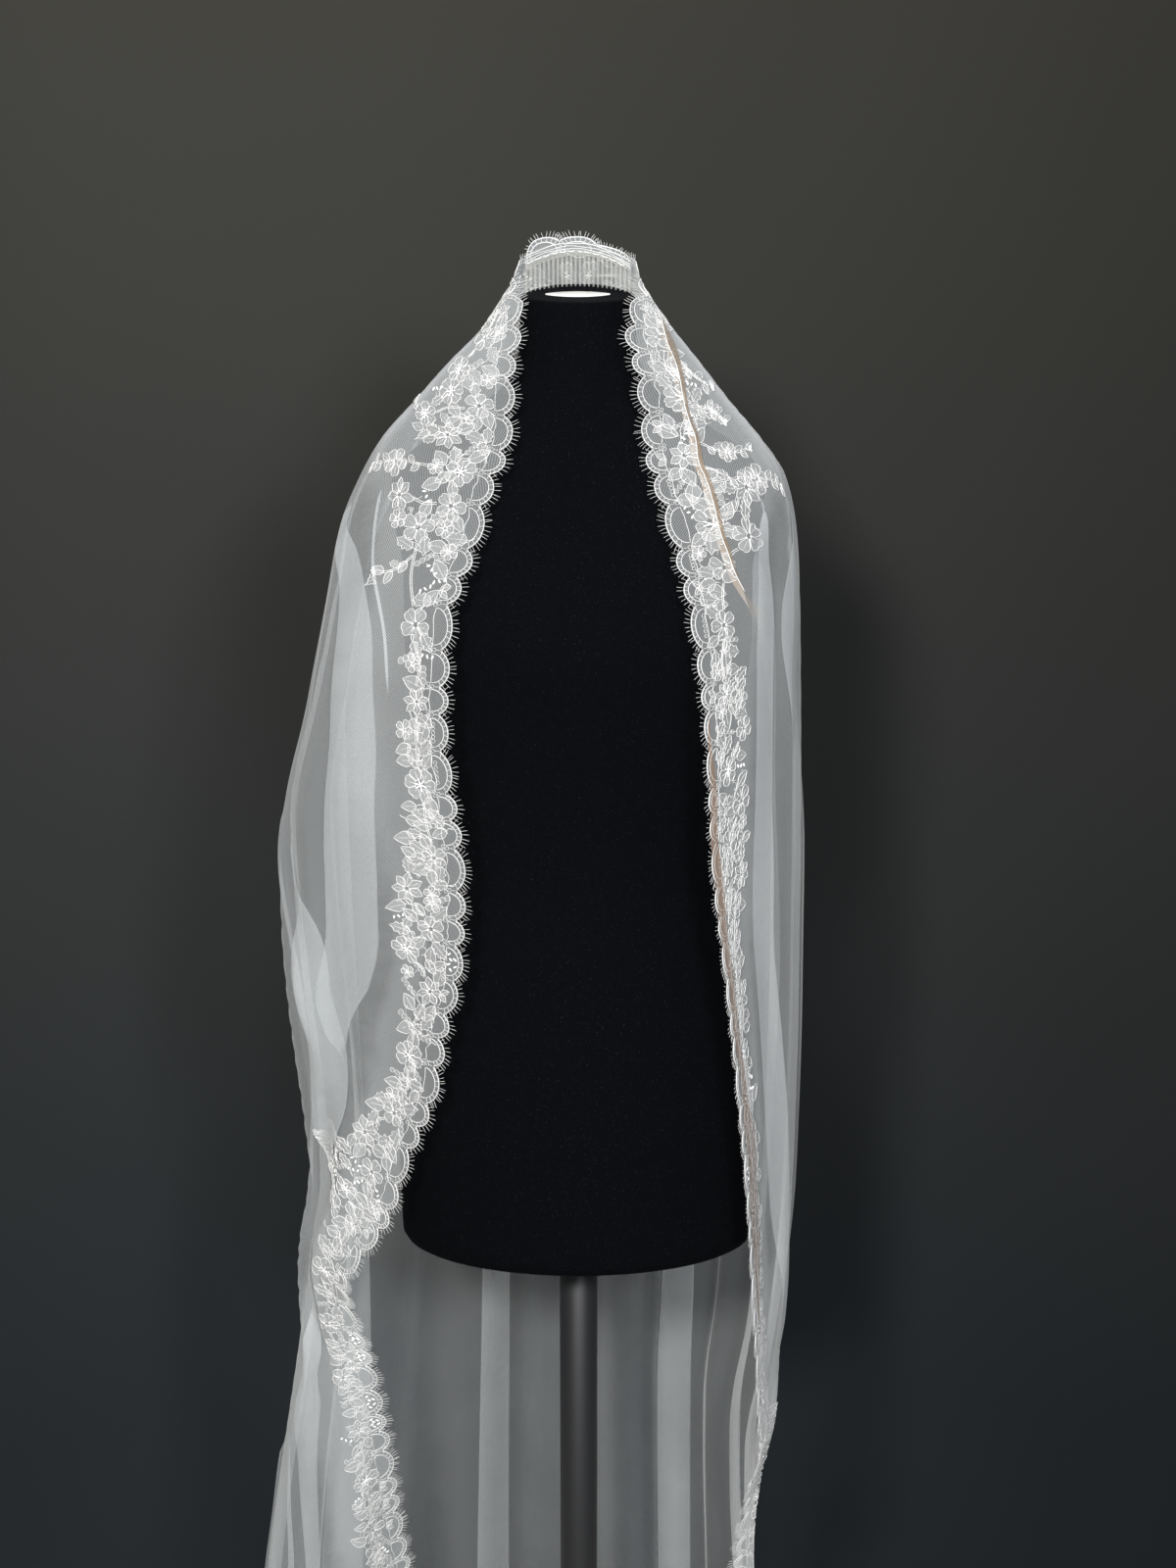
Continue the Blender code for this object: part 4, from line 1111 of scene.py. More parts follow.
@dataclass(frozen=True)
class BlackVelvet(Finish):
    """Cotton velvet stretched over the form: nearly black, its nap catching light at the edges."""

    name: str = "black_velvet"
    pile: str = "#060709"
    lint: str = "#34363c"
    nap_mm: float = 7.0         # patches of the nap brushed one way, far coarser than its pile
    lint_mm: float = 0.9        # specks of lint caught in it

    def surface(self, add: Adder) -> Node:
        """Lays the nodes and returns the shader that they end in."""
        place = add("TexCoord").outputs["Object"]
        nap = add("TexNoise", {"Vector": place, "Scale": 1.0 / (self.nap_mm * MM), "Detail": 4.0})
        fleck = add("TexNoise", {"Vector": place, "Scale": 1.0 / (self.lint_mm * MM), "Detail": 1.0})
        dust = add("MapRange", {"Value": fleck, "From Min": 0.68, "From Max": 0.78, "To Min": 0.0,
                                "To Max": 0.5})
        tone = add("Mix", {0: dust, 6: linear(self.pile), 7: linear(self.lint)}, data_type="RGBA")
        bump = add("Bump", {"Height": nap, "Strength": 0.25, "Distance": 0.4 * MM})
        return add("BsdfPrincipled", {"Base Color": tone.outputs[2], "Roughness": 0.95,
                                      "Specular IOR Level": 0.02, "Sheen Weight": 0.02,
                                      "Sheen Roughness": 0.35, "Sheen Tint": linear("#8a8c94"),
                                      "Normal": bump})


@dataclass(frozen=True)
class Moulded(Finish):
    """A hard surface with fine grain: moulded plastic, or powder coat baked on steel."""

    colour: str
    roughness: float
    grain_mm: float
    depth_mm: float

    def surface(self, add: Adder) -> Node:
        """Lays the nodes and returns the shader that they end in."""
        place = add("TexCoord").outputs["Object"]
        grain = add("TexNoise", {"Vector": place, "Scale": 1.0 / (self.grain_mm * MM), "Detail": 3.0})
        rough = add("MapRange", {"Value": grain, "To Min": self.roughness - 0.08,
                                 "To Max": self.roughness + 0.08})
        bump = add("Bump", {"Height": grain, "Strength": 0.4, "Distance": self.depth_mm * MM})
        return add("BsdfPrincipled", {"Base Color": linear(self.colour), "Roughness": rough,
                                      "Normal": bump})


CAP_PLASTIC = Moulded("cap_abs", "#e9e8e4", 0.4, 2.0, 0.05)
POWDER_COAT = Moulded("black_powder_coat", "#17181a", 0.5, 0.8, 0.06)


# --- the net -------------------------------------------------------------------------------
@dataclass
class NetShell:
    """The veil's ground: one sheet of tulle out to the scalloped edge."""

    drape: Drape
    rim: Rim
    grid: float = 7.0           # spacing of the inner points
    along: float = 5.0          # spacing of the rows across a pleat
    lace_wide: float = 64.0     # how far in the border's closer ground reaches
    lace_fade: float = 12.0     # and over how much it runs out
    clear: float = 4.5          # how far both stay from the edge
    loose: float = 3.4          # how far the inner points stay from the others
    scale: float = 100.0        # the triangulation is steadiest with numbers near 1
    flat_width: float = 1.12    # metres: the oval that the sheet is cut from
    flat_length: float = 1.65

    def outline(self) -> Array:
        """The scalloped edge, all round, as flat places."""
        lines = []
        for half, edge in self.rim.edges.items():
            s = np.arange(0.0, edge.length, edge.pitch / 12)
            line = edge.flat(np.column_stack([s, EDGE_D + edge.inset(s)]))
            line[:, 0] = half.sign * np.maximum(line[:, 0] * half.sign, 0.1)
            lines.append(line)
        return np.vstack([lines[0], lines[1][::-1]])

    def pleated(self) -> Mesh:
        """Rows of flat places across each pleat, closest where it turns.

        Returns:
            The places, and pairs of their numbers that follow each pleat from row to row.
        """
        turn, on = PLEAT_TURNS
        shares = np.array([0.0, 0.12, 0.22, 0.30, turn - 0.035, turn, turn + 0.035, 0.46, 0.5, 0.54,
                           on - 0.035, on, on + 0.035, 0.70, 0.78, 0.88, 1.0])
        rows, lines, start = [], [], 0
        for pleat, root, tip in self.drape.pleats:
            z = np.arange(pleat.laps[-1].z + 2.0, pleat.laps[0].z, self.along)
            a, b = root(z), tip(z)
            sign = math.copysign(1.0, pleat.laps[1].tip - pleat.laps[1].root)
            reach = pleat_reach(np.abs(b - a))
            way = ((a + b) / 2)[:, None] + sign * reach[:, None] * (2 * shares - 1)
            rows.append(np.column_stack([way.ravel(), np.repeat(z, len(shares))]))
            number = start + np.arange(way.size).reshape(way.shape)
            lines.append(np.column_stack([number[:-1].ravel(), number[1:].ravel()]))
            start += way.size
        return np.vstack(rows), np.vstack(lines)

    def grid_places(self, outline: Array) -> Array:
        """An even grid of places inside the outline.

        Args:
            outline: Its flat places, all round.

        Returns:
            Flat places, one a row.
        """
        low, high = outline.min(0), outline.max(0)
        rows = []
        ax, az = outline[:, 0], outline[:, 1]
        bx, bz = np.roll(ax, -1), np.roll(az, -1)
        for k, z in enumerate(np.arange(low[1] + self.clear, high[1], self.grid)):
            x = np.arange(low[0], high[0], self.grid) + self.grid / 2 * (k % 2)
            hit = (az > z) != (bz > z)
            cross = np.sort(ax[hit] + (z - az[hit]) * (bx[hit] - ax[hit]) / (bz[hit] - az[hit]))
            x = x[np.searchsorted(cross, x) % 2 == 1]
            rows.append(np.column_stack([x, np.full(len(x), z)]))
        return np.vstack(rows)

    def distance(self, points: Array, others: Array) -> Array:
        """How far some flat places lie from the nearest of others."""
        tree = KDTree(len(others))
        for k, (x, z) in enumerate(others):
            tree.insert((x, z, 0.0), k)
        tree.balance()
        return np.array([tree.find((x, z, 0.0))[2] for x, z in points])

    def build(self, material: Material) -> Piece:
        """Makes the sheet.

        Args:
            material: The net.

        Returns:
            The piece.
        """
        outline = self.outline()
        folds, lines = self.pleated()
        keep = self.distance(folds, outline) > self.clear
        number = np.cumsum(keep) - 1 + len(outline)
        lines = number[lines[keep[lines].all(1)]]
        folds = folds[keep]
        loose = self.grid_places(outline)
        loose = loose[self.distance(loose, np.vstack([outline, folds])) > self.loose]
        every = np.vstack([outline, folds, loose]) / self.scale
        edges = [(k, (k + 1) % len(outline)) for k in range(len(outline))] + lines.tolist()
        verts, _, faces, *_ = delaunay_2d_cdt([tuple(p) for p in every], edges, [], 1, 1e-7)
        flat = np.array([(v.x, v.y) for v in verts]) * self.scale
        # tan is the pleats' painted shade, carried to the net's material
        laid, _, tan = self.drape.laid(flat)
        ground = np.clip((self.lace_wide - self.distance(flat, outline)) / self.lace_fade, 0, 1)
        net = make_piece("veil_net", self.drape.surface(flat), np.array(faces)[:, ::-1], material,
                         "tulle", laid * MM, {"pleat_painted_shade": tan, "lace_ground": ground})
        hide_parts("veil_tulle", "lace_left", "lace_right")
        return net


# --- the lace ------------------------------------------------------------------------------
class Stroke(NamedTuple):
    """One laid thread: its places in the border, its radius at each, and how high it lies."""

    band: Array
    radius: Array
    lift: float


def curve(points: Sequence, step: float) -> Array:
    """A smooth line through points.

    Args:
        points: The places that it runs through.
        step: About how far apart its own points are.

    Returns:
        Places, one a row.
    """
    p = np.asarray(points, float)
    p = np.vstack([2 * p[0] - p[1], p, 2 * p[-1] - p[-2]])
    out = []
    for a, b, c, d in zip(p[:-3], p[1:-2], p[2:-1], p[3:]):
        count = max(1, int(round(float(np.hypot(*(c - b))) / step)))
        t = np.arange(count)[:, None] / count
        out.append(
            b + 0.5 * ((c - a) * t + (2 * a - 5 * b + 4 * c - d) * t ** 2
                       + (3 * b - a - 3 * c + d) * t ** 3)
        )
    out.append(p[-2:-1])
    return np.vstack(out)


CORD_R = 0.42
RIM_R = 0.58                    # the scallops' outer cord
FINE_R = 0.25
BAR_R = 0.27
CORD_LIFT = 0.45
FILL_LIFT = 0.15
SEED_R = 0.8
LADDER = 4.3                    # between the two cords of a scallop
CHORD_D = EDGE_D + 15.5         # where a scallop's window ends and the motifs begin
UNSEEN_S = 1150                 # the way along the edge from which the border is out of sight
PARTS_S = 1100                  # where the cords are parted in an upper and a lower piece
INNER_TURN = 1.66               # how far round its centre a scallop's inner cord runs
BARS = 8                        # between the two cords of one scallop
LEAF_GAP = 11.3                 # between the leaves and other small motifs
LINK_GAPS = (0.5, 12.0)         # the gaps between motifs that a cord bridges


class Window(Enum):
    """What fills the window inside a scallop."""

    OPEN = 0
    DASHES = 1
    RINGS = 2
    BUD = 3


WINDOW_ODDS = (0.66, 0.1, 0.1, 0.14)
# A small motif is what its draw falls under: a toothed leaf, a leaf, a flower or a pod; the
# rest are stitches.
TOOTHED_DRAW, LEAF_DRAW, FLOWER_DRAW, POD_DRAW = 0.4, 0.74, 0.83, 0.94


class Bloom(NamedTuple):
    """One flower of the border: its place, size and petals."""

    s: float
    d: float
    radius: float
    petals: int


class Spray(NamedTuple):
    """One branch that leaves the border: its start, its tip, how far it bows and what it bears."""

    s: float
    d: float
    to_s: float
    to_d: float
    bow: float
    leaves: int
    bloom: float                # the radius of a flower half way along, or 0


class Reach(NamedTuple):
    """How far in from the lash tips the motifs lie, at a way along the edge."""

    s: float
    d: float


REACHES = {
    Half.LEFT: table(
        Reach,
        (0, 62), (88, 70), (135, 56), (160, 60), (184, 84),
        (205, 104), (236, 104), (250, 66), (275, 64), (292, 96),
        (320, 80), (336, 62), (370, 46), (398, 56), (426, 46),
        (470, 54), (530, 60), (588, 74), (646, 74), (682, 62),
        (740, 52), (802, 64), (850, 84), (880, 104), (908, 90),
        (940, 66), (968, 50), (1010, 44), (1060, 46), (1150, 50),
        (1300, 62), (2600, 62),
    ),
    Half.RIGHT: table(
        Reach,
        (0, 62), (70, 60), (120, 56), (165, 54), (198, 70),
        (226, 70), (240, 60), (262, 60), (278, 96), (310, 86),
        (330, 72), (358, 48), (404, 62), (470, 70), (560, 72),
        (642, 60), (756, 62), (1150, 60), (2600, 62),
    ),
}
REPEAT = 9                      # scallops after which the big flowers repeat
BORDER_BLOOMS = table(
    Bloom,
    (14, 38, 13.5, 6), (44, 58, 12.5, 5), (76, 37, 12.5, 5),
    (106, 60, 14.0, 7), (138, 38, 12.5, 5), (168, 58, 13.0, 6),
    (198, 36, 12.0, 7), (228, 60, 12.5, 5),
)
SHOULDER = {
    Half.LEFT: table(
        Bloom,
        (188, 62, 13.5, 6), (214, 90, 13.5, 6), (232, 62, 13.5, 7),
        (200, 36, 12.0, 5), (262, 38, 12.5, 6), (292, 84, 13.5, 7),
        (312, 60, 13.0, 5), (290, 38, 12.0, 5),
    ),
    Half.RIGHT: table(
        Bloom,
        (284, 86, 15.0, 7), (318, 72, 13.5, 5), (304, 42, 13.0, 6),
        (196, 40, 12.5, 6), (246, 40, 12.5, 7), (338, 46, 12.0, 5),
    ),
}
SPRAYS = {
    Half.LEFT: table(
        Spray,
        (262, 58, 284, 134, 4, 9, 12.5), (208, 102, 200, 118, -3, 3, 0),
        (334, 56, 352, 84, -5, 5, 0),
    ),
    Half.RIGHT: table(
        Spray,
        (164, 50, 190, 82, -4, 4, 0), (204, 52, 222, 86, 4, 6, 8.5),
        (236, 54, 254, 110, -5, 8, 9.5), (272, 56, 296, 136, 5, 9, 12.5),
    ),
}
SHOULDER_SPAN = (172.0, 346.0)  # where the tables above take the place of the repeat


@dataclass
class LaceBand:
    """One half of the corded lace border, drawn in the border's own places."""

    rim: Rim
    half: Half
    seed: int
    cords: list[Stroke] = field(default_factory=list)
    seeds: list[Stroke] = field(default_factory=list)
    fills: list[Array] = field(default_factory=list)

    def __post_init__(self) -> None:
        """Starts the random draws and the width's curve."""
        self.rng = np.random.default_rng(self.seed)
        self.edge = self.rim.edges[self.half]
        self.reach = column(REACHES[self.half], "d", "s")

    def step(self, s: float) -> float:
        """Spacing of the points of a thread: wider where the border is out of sight."""
        return 1.8 if s < UNSEEN_S else 2.8

    def lay(self, band: Array, radius: float = CORD_R, lift: float = CORD_LIFT) -> None:
        """Lays one thread of even thickness."""
        self.cords.append(Stroke(band, np.full(len(band), radius), lift))

    def seed_stitch(self, at: Array, turn: float, length: float, wide: float) -> None:
        """Lays one satin stitch, thick in its middle."""
        run = np.linspace(-0.5, 0.5, 5)
        band = np.asarray(at) + run[:, None] * length * heading(turn)
        self.seeds.append(Stroke(band, wide * np.sqrt(np.maximum(1 - (run * 1.7) ** 2, 0.2)), 0.3))

    def ring(self, at: Array, radius: float, filled: bool = False) -> None:
        """A small corded ring."""
        t = np.linspace(0, 2 * math.pi, 9)
        line = at + radius * np.column_stack([np.cos(t), np.sin(t)])
        self.lay(line, BAR_R)
        if filled:
            self.fills.append(line[:-1])

    def scallops(self) -> None:
        """The edge: two cords with bars between, a window in each scallop, rings at the cusps."""
        edge = self.edge
        limit = math.asin(SCALLOP_PITCH / 2 / SCALLOP_R)
        inner = SCALLOP_R - LADDER
        centre = np.array([0.0, EDGE_D + SCALLOP_R])
        for n in edge.numbers():
            step = self.step(edge.cusps[n + 1])

            def arc(radius: float, end: float) -> Array:
                """Part of a ring round the scallop's centre."""
                t = np.linspace(-end, end, max(5, int(2 * radius * end / step) + 1))
                return centre + radius * np.column_stack([np.sin(t), -np.cos(t)])

            self.lay(edge.bend(n, arc(SCALLOP_R - RIM_R, limit)), RIM_R)
            ring = arc(inner, INNER_TURN)
            self.lay(edge.bend(n, ring), CORD_R * 1.1)
            sag = self.rng.uniform(-1.6, 1.6, 3)
            chord = curve([ring[-1], (inner * 0.5, CHORD_D + sag[0]), (0, CHORD_D + 1 + sag[1]),
                           (-inner * 0.5, CHORD_D + sag[2]), ring[0]], step)
            self.lay(edge.bend(n, chord), CORD_R * 0.9)
            for t in np.linspace(-limit * 0.9, limit * 0.9, BARS):
                way = outwards(t)
                ends = np.array([centre + way * inner, centre + way * (SCALLOP_R - RIM_R)])
                self.lay(edge.bend(n, ends), BAR_R)
            self.window(Window(int(self.rng.choice(4, p=WINDOW_ODDS))), n, inner, step)
            cusp = np.array([edge.cusps[n + 1], EDGE_D + edge.cusp_in[n + 1] + LADDER + 1.6])
            self.ring(cusp, 1.5)
            self.lay(curve([cusp + [0, -1.5], cusp + [0, -4.9]], step), BAR_R)
            self.ring(cusp + [1.5, 3.2], 1.4)
            self.ring(cusp + [-1.7, 3.4], 1.4)

    def window(self, kind: Window, n: int, inner: float, step: float) -> None:
        """Fills one window.

        Args:
            kind: What fills it.
            n: The scallop's number.
            inner: The radius of the window's arc; not used.
            step: Spacing of the points.
        """
        bend, rng = self.edge.bend, self.rng
        if kind is Window.DASHES:
            for k in range(4):
                at = np.array([[-5.7 + 3.8 * k, CHORD_D - 2.2 - 1.8 * (k % 2)]])
                self.seed_stitch(bend(n, at)[0], (0.9, -0.9)[k % 2], 3.3, SEED_R)
            for side in (-1, 1):
                at = np.array([[2.7 * side, CHORD_D - 8.0 + rng.uniform(-0.6, 0.6)]])
                self.seed_stitch(bend(n, at)[0], math.pi / 2 - 0.6 * side, 3.6, SEED_R)
        elif kind is Window.RINGS:
            for k in range(5):
                self.ring(bend(n, np.array([[-6.2 + 3.1 * k, CHORD_D - 2.0]]))[0], 1.5)
        elif kind is Window.BUD:
            side = rng.uniform(-3, 3)
            for turn in (-0.55, 0.55):
                base = bend(n, np.array([[side, CHORD_D + 2.0]]))[0]
                way = outwards(turn)
                self.leaf(base, base + way * 9.5, 5.2, False, step)

    def petal(self, at: Array, aim: float, near: float, far: float, wide: float, sharp: bool) -> None:
        """One corded petal with a fine vein.

        Args:
            at: The flower's middle.
            aim: Which way it points.
            near: Where it starts from the middle.
            far: Its reach from the middle.
            wide: Its width.
            sharp: Whether its tip is pointed.
        """
        rows = ((0, 0.22), (0.3, 0.72), (0.62, 1.0), (0.88, 0.8), (1.0, 0.4))
        if sharp:
            rows = ((0, 0.2), (0.3, 0.78), (0.55, 1.0), (0.82, 0.52), (1.04, 0.0))
        way = heading(aim)
        side = quarter(way)
        push = self.rng.uniform(0.88, 1.1, 2)
        left = [at + way * (near + (far - near) * u) + side * wide / 2 * v * push[0] for u, v in rows]
        right = [at + way * (near + (far - near) * u) - side * wide / 2 * v * push[1] for u, v in rows]
        if sharp:
            step = self.step(at[0])
            line = np.vstack([curve(left, step), curve(right[::-1], step)[1:]])
        else:
            notch = at + way * (near + (far - near) * 0.93)
            line = curve([*left, notch, *right[::-1]], self.step(at[0]))
        self.lay(line)
        self.fills.append(line)
        reach = near + (far - near) * self.rng.uniform(0.6, 0.8)
        self.lay(np.array([at + way * near, at + way * (near + reach) / 2, at + way * reach]), FINE_R)

    def bloom(self, at: Array, radius: float, petals: int) -> None:
        """A flower: five round petals, six broad ones round a brush, or more with sharp tips.

        Args:
            at: Its middle.
            radius: About how far its petals reach.
            petals: How many it has.
        """
        turn = self.rng.uniform(0, 2 * math.pi)
        core = (0.2, 0.26, 0.17)[min(petals - 5, 2)] * radius
        spread = 2 * radius * math.sin(math.pi / petals)
        wide = spread * (0.66, 0.74, 0.64)[min(petals - 5, 2)]
        for k in range(petals):
            aim = turn + 2 * math.pi * k / petals + self.rng.uniform(-0.08, 0.08)
            self.petal(at, aim, core, radius * self.rng.uniform(0.88, 1.08), wide, petals > 6)
        if petals == 6:
            for k in range(6):
                aim = turn + 1.1 * k
                way = heading(aim)
                self.seed_stitch(at + way * core * 0.75, aim, core * 1.5, 0.55)
            return
        self.ring(at, core)
        for k in range(5):
            aim = turn + 2 * math.pi * (k + 0.5) / 5
            way = heading(aim)
            self.seed_stitch(at + way * core * 1.1, aim, 2.2, 0.45)

    def leaf(self, base: Array, tip: Array, wide: float, toothed: bool, step: float) -> None:
        """A corded leaf with a vein.

        Args:
            base: Where it grows from.
            tip: Its point.
            wide: Its width.
            toothed: Whether its sides are toothed.
            step: Spacing of the points.
        """
        run = tip - base
        side = quarter(run) / max(float(np.hypot(*run)), 1e-6) * wide / 2
        rows = ((0.0, 0.0), (0.2, 0.72), (0.45, 1.0), (0.75, 0.62), (1.0, 0.0))
        if toothed:
            rows = ((0.0, 0.0), (0.16, 0.8), (0.3, 0.62), (0.42, 1.12), (0.55, 0.66), (0.7, 0.92),
                    (0.8, 0.4), (1.0, 0.0))
        left = [base + run * u + side * v for u, v in rows]
        right = [base + run * u - side * v for u, v in rows[::-1]]
        line = np.vstack([curve(left, step), curve(right, step)[1:]])
        self.lay(line)
        self.fills.append(line[:-1])
        self.lay(curve([base, base + run * 0.4, base + run * 0.82], step * 1.6), FINE_R)

    def stem(self, points: Sequence) -> Array:
        """A stem of two cords laid side by side."""
        line = curve(points, 2.2)
        side = unit(np.gradient(line, axis=0))[:, ::-1] * [1, -1]
        self.lay(line + side * 0.75)
        self.lay(line - side * 0.75)
        return line

    def spray(self, row: Spray) -> None:
        """A branch with leaves on both sides, perhaps a flower, and satin stitches at its tip.

        Args:
            row: Its place and size.
        """
        start, end = np.array([row.s, row.d]), np.array([row.to_s, row.to_d])
        run = end - start
        length = float(np.hypot(*run))
        out = quarter(run) / length
        stem = self.stem([start, start + run * 0.35 + out * row.bow,
                          start + run * 0.7 + out * row.bow, end])
        if row.bloom:
            self.bloom(start + run * 0.55 + out * row.bow, row.bloom, 5)
        for k in range(row.leaves):
            at = stem[int((0.2 + 0.75 * k / max(row.leaves - 1, 1)) * (len(stem) - 1))]
            side = 1 if k % 2 else -1
            way = run / length * 0.8 + out * side * 0.62
            self.leaf(at, at + way * self.rng.uniform(9.5, 12.5), self.rng.uniform(5.6, 7.2),
                      k % 3 == 1, 1.8)
        for k in range(5):
            turn = math.atan2(run[1], run[0]) + (k - 2) * 0.55
            at = end + (1.6 + 1.4 * (k % 2)) * heading(turn)
            self.seed_stitch(at, turn + 0.6 * (-1) ** k, 3.2, 0.8)

    def body(self) -> None:
        """Flowers by the tables and stems between them, then leaves in all that is left."""
        edge, rng = self.edge, self.rng
        taken: list[tuple[float, float, float]] = []
        length = REPEAT * edge.pitch
        for turn in range(int(edge.length / length) + 1):
            for row in BORDER_BLOOMS:
                s = turn * length + row.s * edge.pitch / SCALLOP_PITCH
                if s > edge.length or SHOULDER_SPAN[0] < s < SHOULDER_SPAN[1]:
                    continue
                jitter = rng.uniform(-3, 3, 2)
                radius = row.radius * rng.uniform(0.9, 1.06)
                if row.d + radius * 0.7 > float(self.reach(s)) + 4.0:
                    continue
                taken.append((s + jitter[0], row.d + jitter[1], radius))
                self.bloom(np.array(taken[-1][:2]), taken[-1][2], row.petals)
        for row in SHOULDER[self.half]:
            taken.append((row.s, row.d, row.radius))
            self.bloom(np.array([row.s, row.d]), row.radius, row.petals)
        for row in SPRAYS[self.half]:
            self.spray(row)
        order = sorted(taken)
        for (s0, d0, r0), (s1, d1, r1) in zip(order, order[1:]):
            run = np.array([s1 - s0, d1 - d0])
            gap = float(np.hypot(*run))
            if r0 + r1 + 4 < gap < 75:
                way, out = run / gap, quarter(run) / gap
                a, b = np.array([s0, d0]) + way * r0, np.array([s1, d1]) - way * r1
                self.stem([a, (a + b) / 2 + out * rng.uniform(-4, 4), b])
        self.leaves(np.array(taken))

    def leaves(self, taken: Array) -> None:
        """Leaves, pods, stitches and small flowers between the big flowers.

        Args:
            taken: Rows of (s, d, radius) that are already full.
        """
        rng, edge = self.rng, self.edge
        spots = [*map(tuple, taken)]
        for s0 in np.arange(44.0, edge.length, LEAF_GAP):
            for k, d0 in enumerate(np.arange(CHORD_D + 6.0, 130.0, LEAF_GAP * 0.86)):
                at = np.array([s0 + LEAF_GAP / 2 * (k % 2), d0]) + rng.uniform(-2.2, 2.2, 2)
                limit = float(self.reach(at[0])) - 5.0
                near = np.hypot(taken[:, 0] - at[0], taken[:, 1] - at[1]) - taken[:, 2]
                aim = rng.uniform(0, 2 * math.pi)
                size, kind = rng.uniform(0.85, 1.2), rng.uniform()
                if at[1] > limit or near.min() < 1.4:
                    continue
                spots.append((at[0], at[1], 4.6))
                step = self.step(at[0])
                close = int(near.argmin())
                away = math.atan2(at[1] - taken[close, 1], at[0] - taken[close, 0])
                if near[close] < 9:
                    aim = away + rng.uniform(-0.6, 0.6)
                if at[1] > limit - 8:
                    aim = math.pi / 2 + rng.uniform(-0.8, 0.8)
                way = heading(aim)
                if kind < LEAF_DRAW:
                    base = at - way * 8.2 * size
                    self.leaf(base, at + way * 8.2 * size, 10.0 * size, kind < TOOTHED_DRAW, step)
                    self.lay(curve([base, base - way * 3 + rng.uniform(-2, 2, 2),
                                    base - way * 6 + rng.uniform(-3, 3, 2)], step))
                elif kind < FLOWER_DRAW:
                    self.bloom(at, 7.0 * size, 5)
                elif kind < POD_DRAW:
                    for k in (-1, 0, 1):
                        self.ring(at + way * 4.6 * k, 2.3 * size, True)
                    self.lay(curve([at - way * 12, at - way * 8 + rng.uniform(-1, 1, 2),
                                    at - way * 6.8], step))
                else:
                    for k in (-1, 0, 1):
                        self.seed_stitch(at + way * 4.4 * k, aim + 1.1 * (-1) ** k, 3.2, SEED_R)
        self.link(np.array(spots))

    def link(self, spots: Array) -> None:
        """Bowed cords that join each motif to its nearest ones and divide the ground between them.

        Args:
            spots: Rows of (s, d, radius), one a motif.
        """
        for i, (s0, d0, r0) in enumerate(spots):
            away = np.hypot(spots[:, 0] - s0, spots[:, 1] - d0)
            for j in np.argsort(away)[1:3]:
                gap = away[j] - r0 - spots[j, 2]
                if (j < i and i in np.argsort(np.hypot(*(spots[:, :2] - spots[j, :2]).T))[1:3]
                        or not LINK_GAPS[0] < gap < LINK_GAPS[1]):
                    continue
                way = (spots[j, :2] - [s0, d0]) / away[j]
                a, b = np.array([s0, d0]) + way * r0, spots[j, :2] - way * spots[j, 2]
                bow = quarter(way) * self.rng.uniform(-2.4, 2.4)
                self.lay(curve([a - way, (a + b) / 2 + bow, b + way], self.step(s0) * 1.3),
                         CORD_R * 0.7)

    def build(self, finishes: dict[str, Material]) -> list[Piece]:
        """Draws the border and makes its pieces.

        Args:
            finishes: The materials cord, satin and fill.

        Returns:
            The pieces.
        """
        self.scallops()
        self.body()
        name = self.half.value
        surface = Needle(self.rim, self.half)
        cords = {"upper": [s for s in self.cords if s.band[0, 0] < PARTS_S],
                 "lower": [s for s in self.cords if s.band[0, 0] >= PARTS_S]}
        out = []
        for part, some in cords.items():
            out.append(make_piece(f"lace_cord_{name}_{part}", *surface.tubes(some, 3),
                                  finishes["cord"], "lace"))
        out.append(make_piece(f"lace_satin_{name}", *surface.tubes(self.seeds, 5),
                              finishes["satin"], "lace"))
        points, faces, uv = surface.fans(self.fills)
        out.append(make_piece(f"lace_fill_{name}", points, faces, finishes["fill"], "lace", uv))
        return out


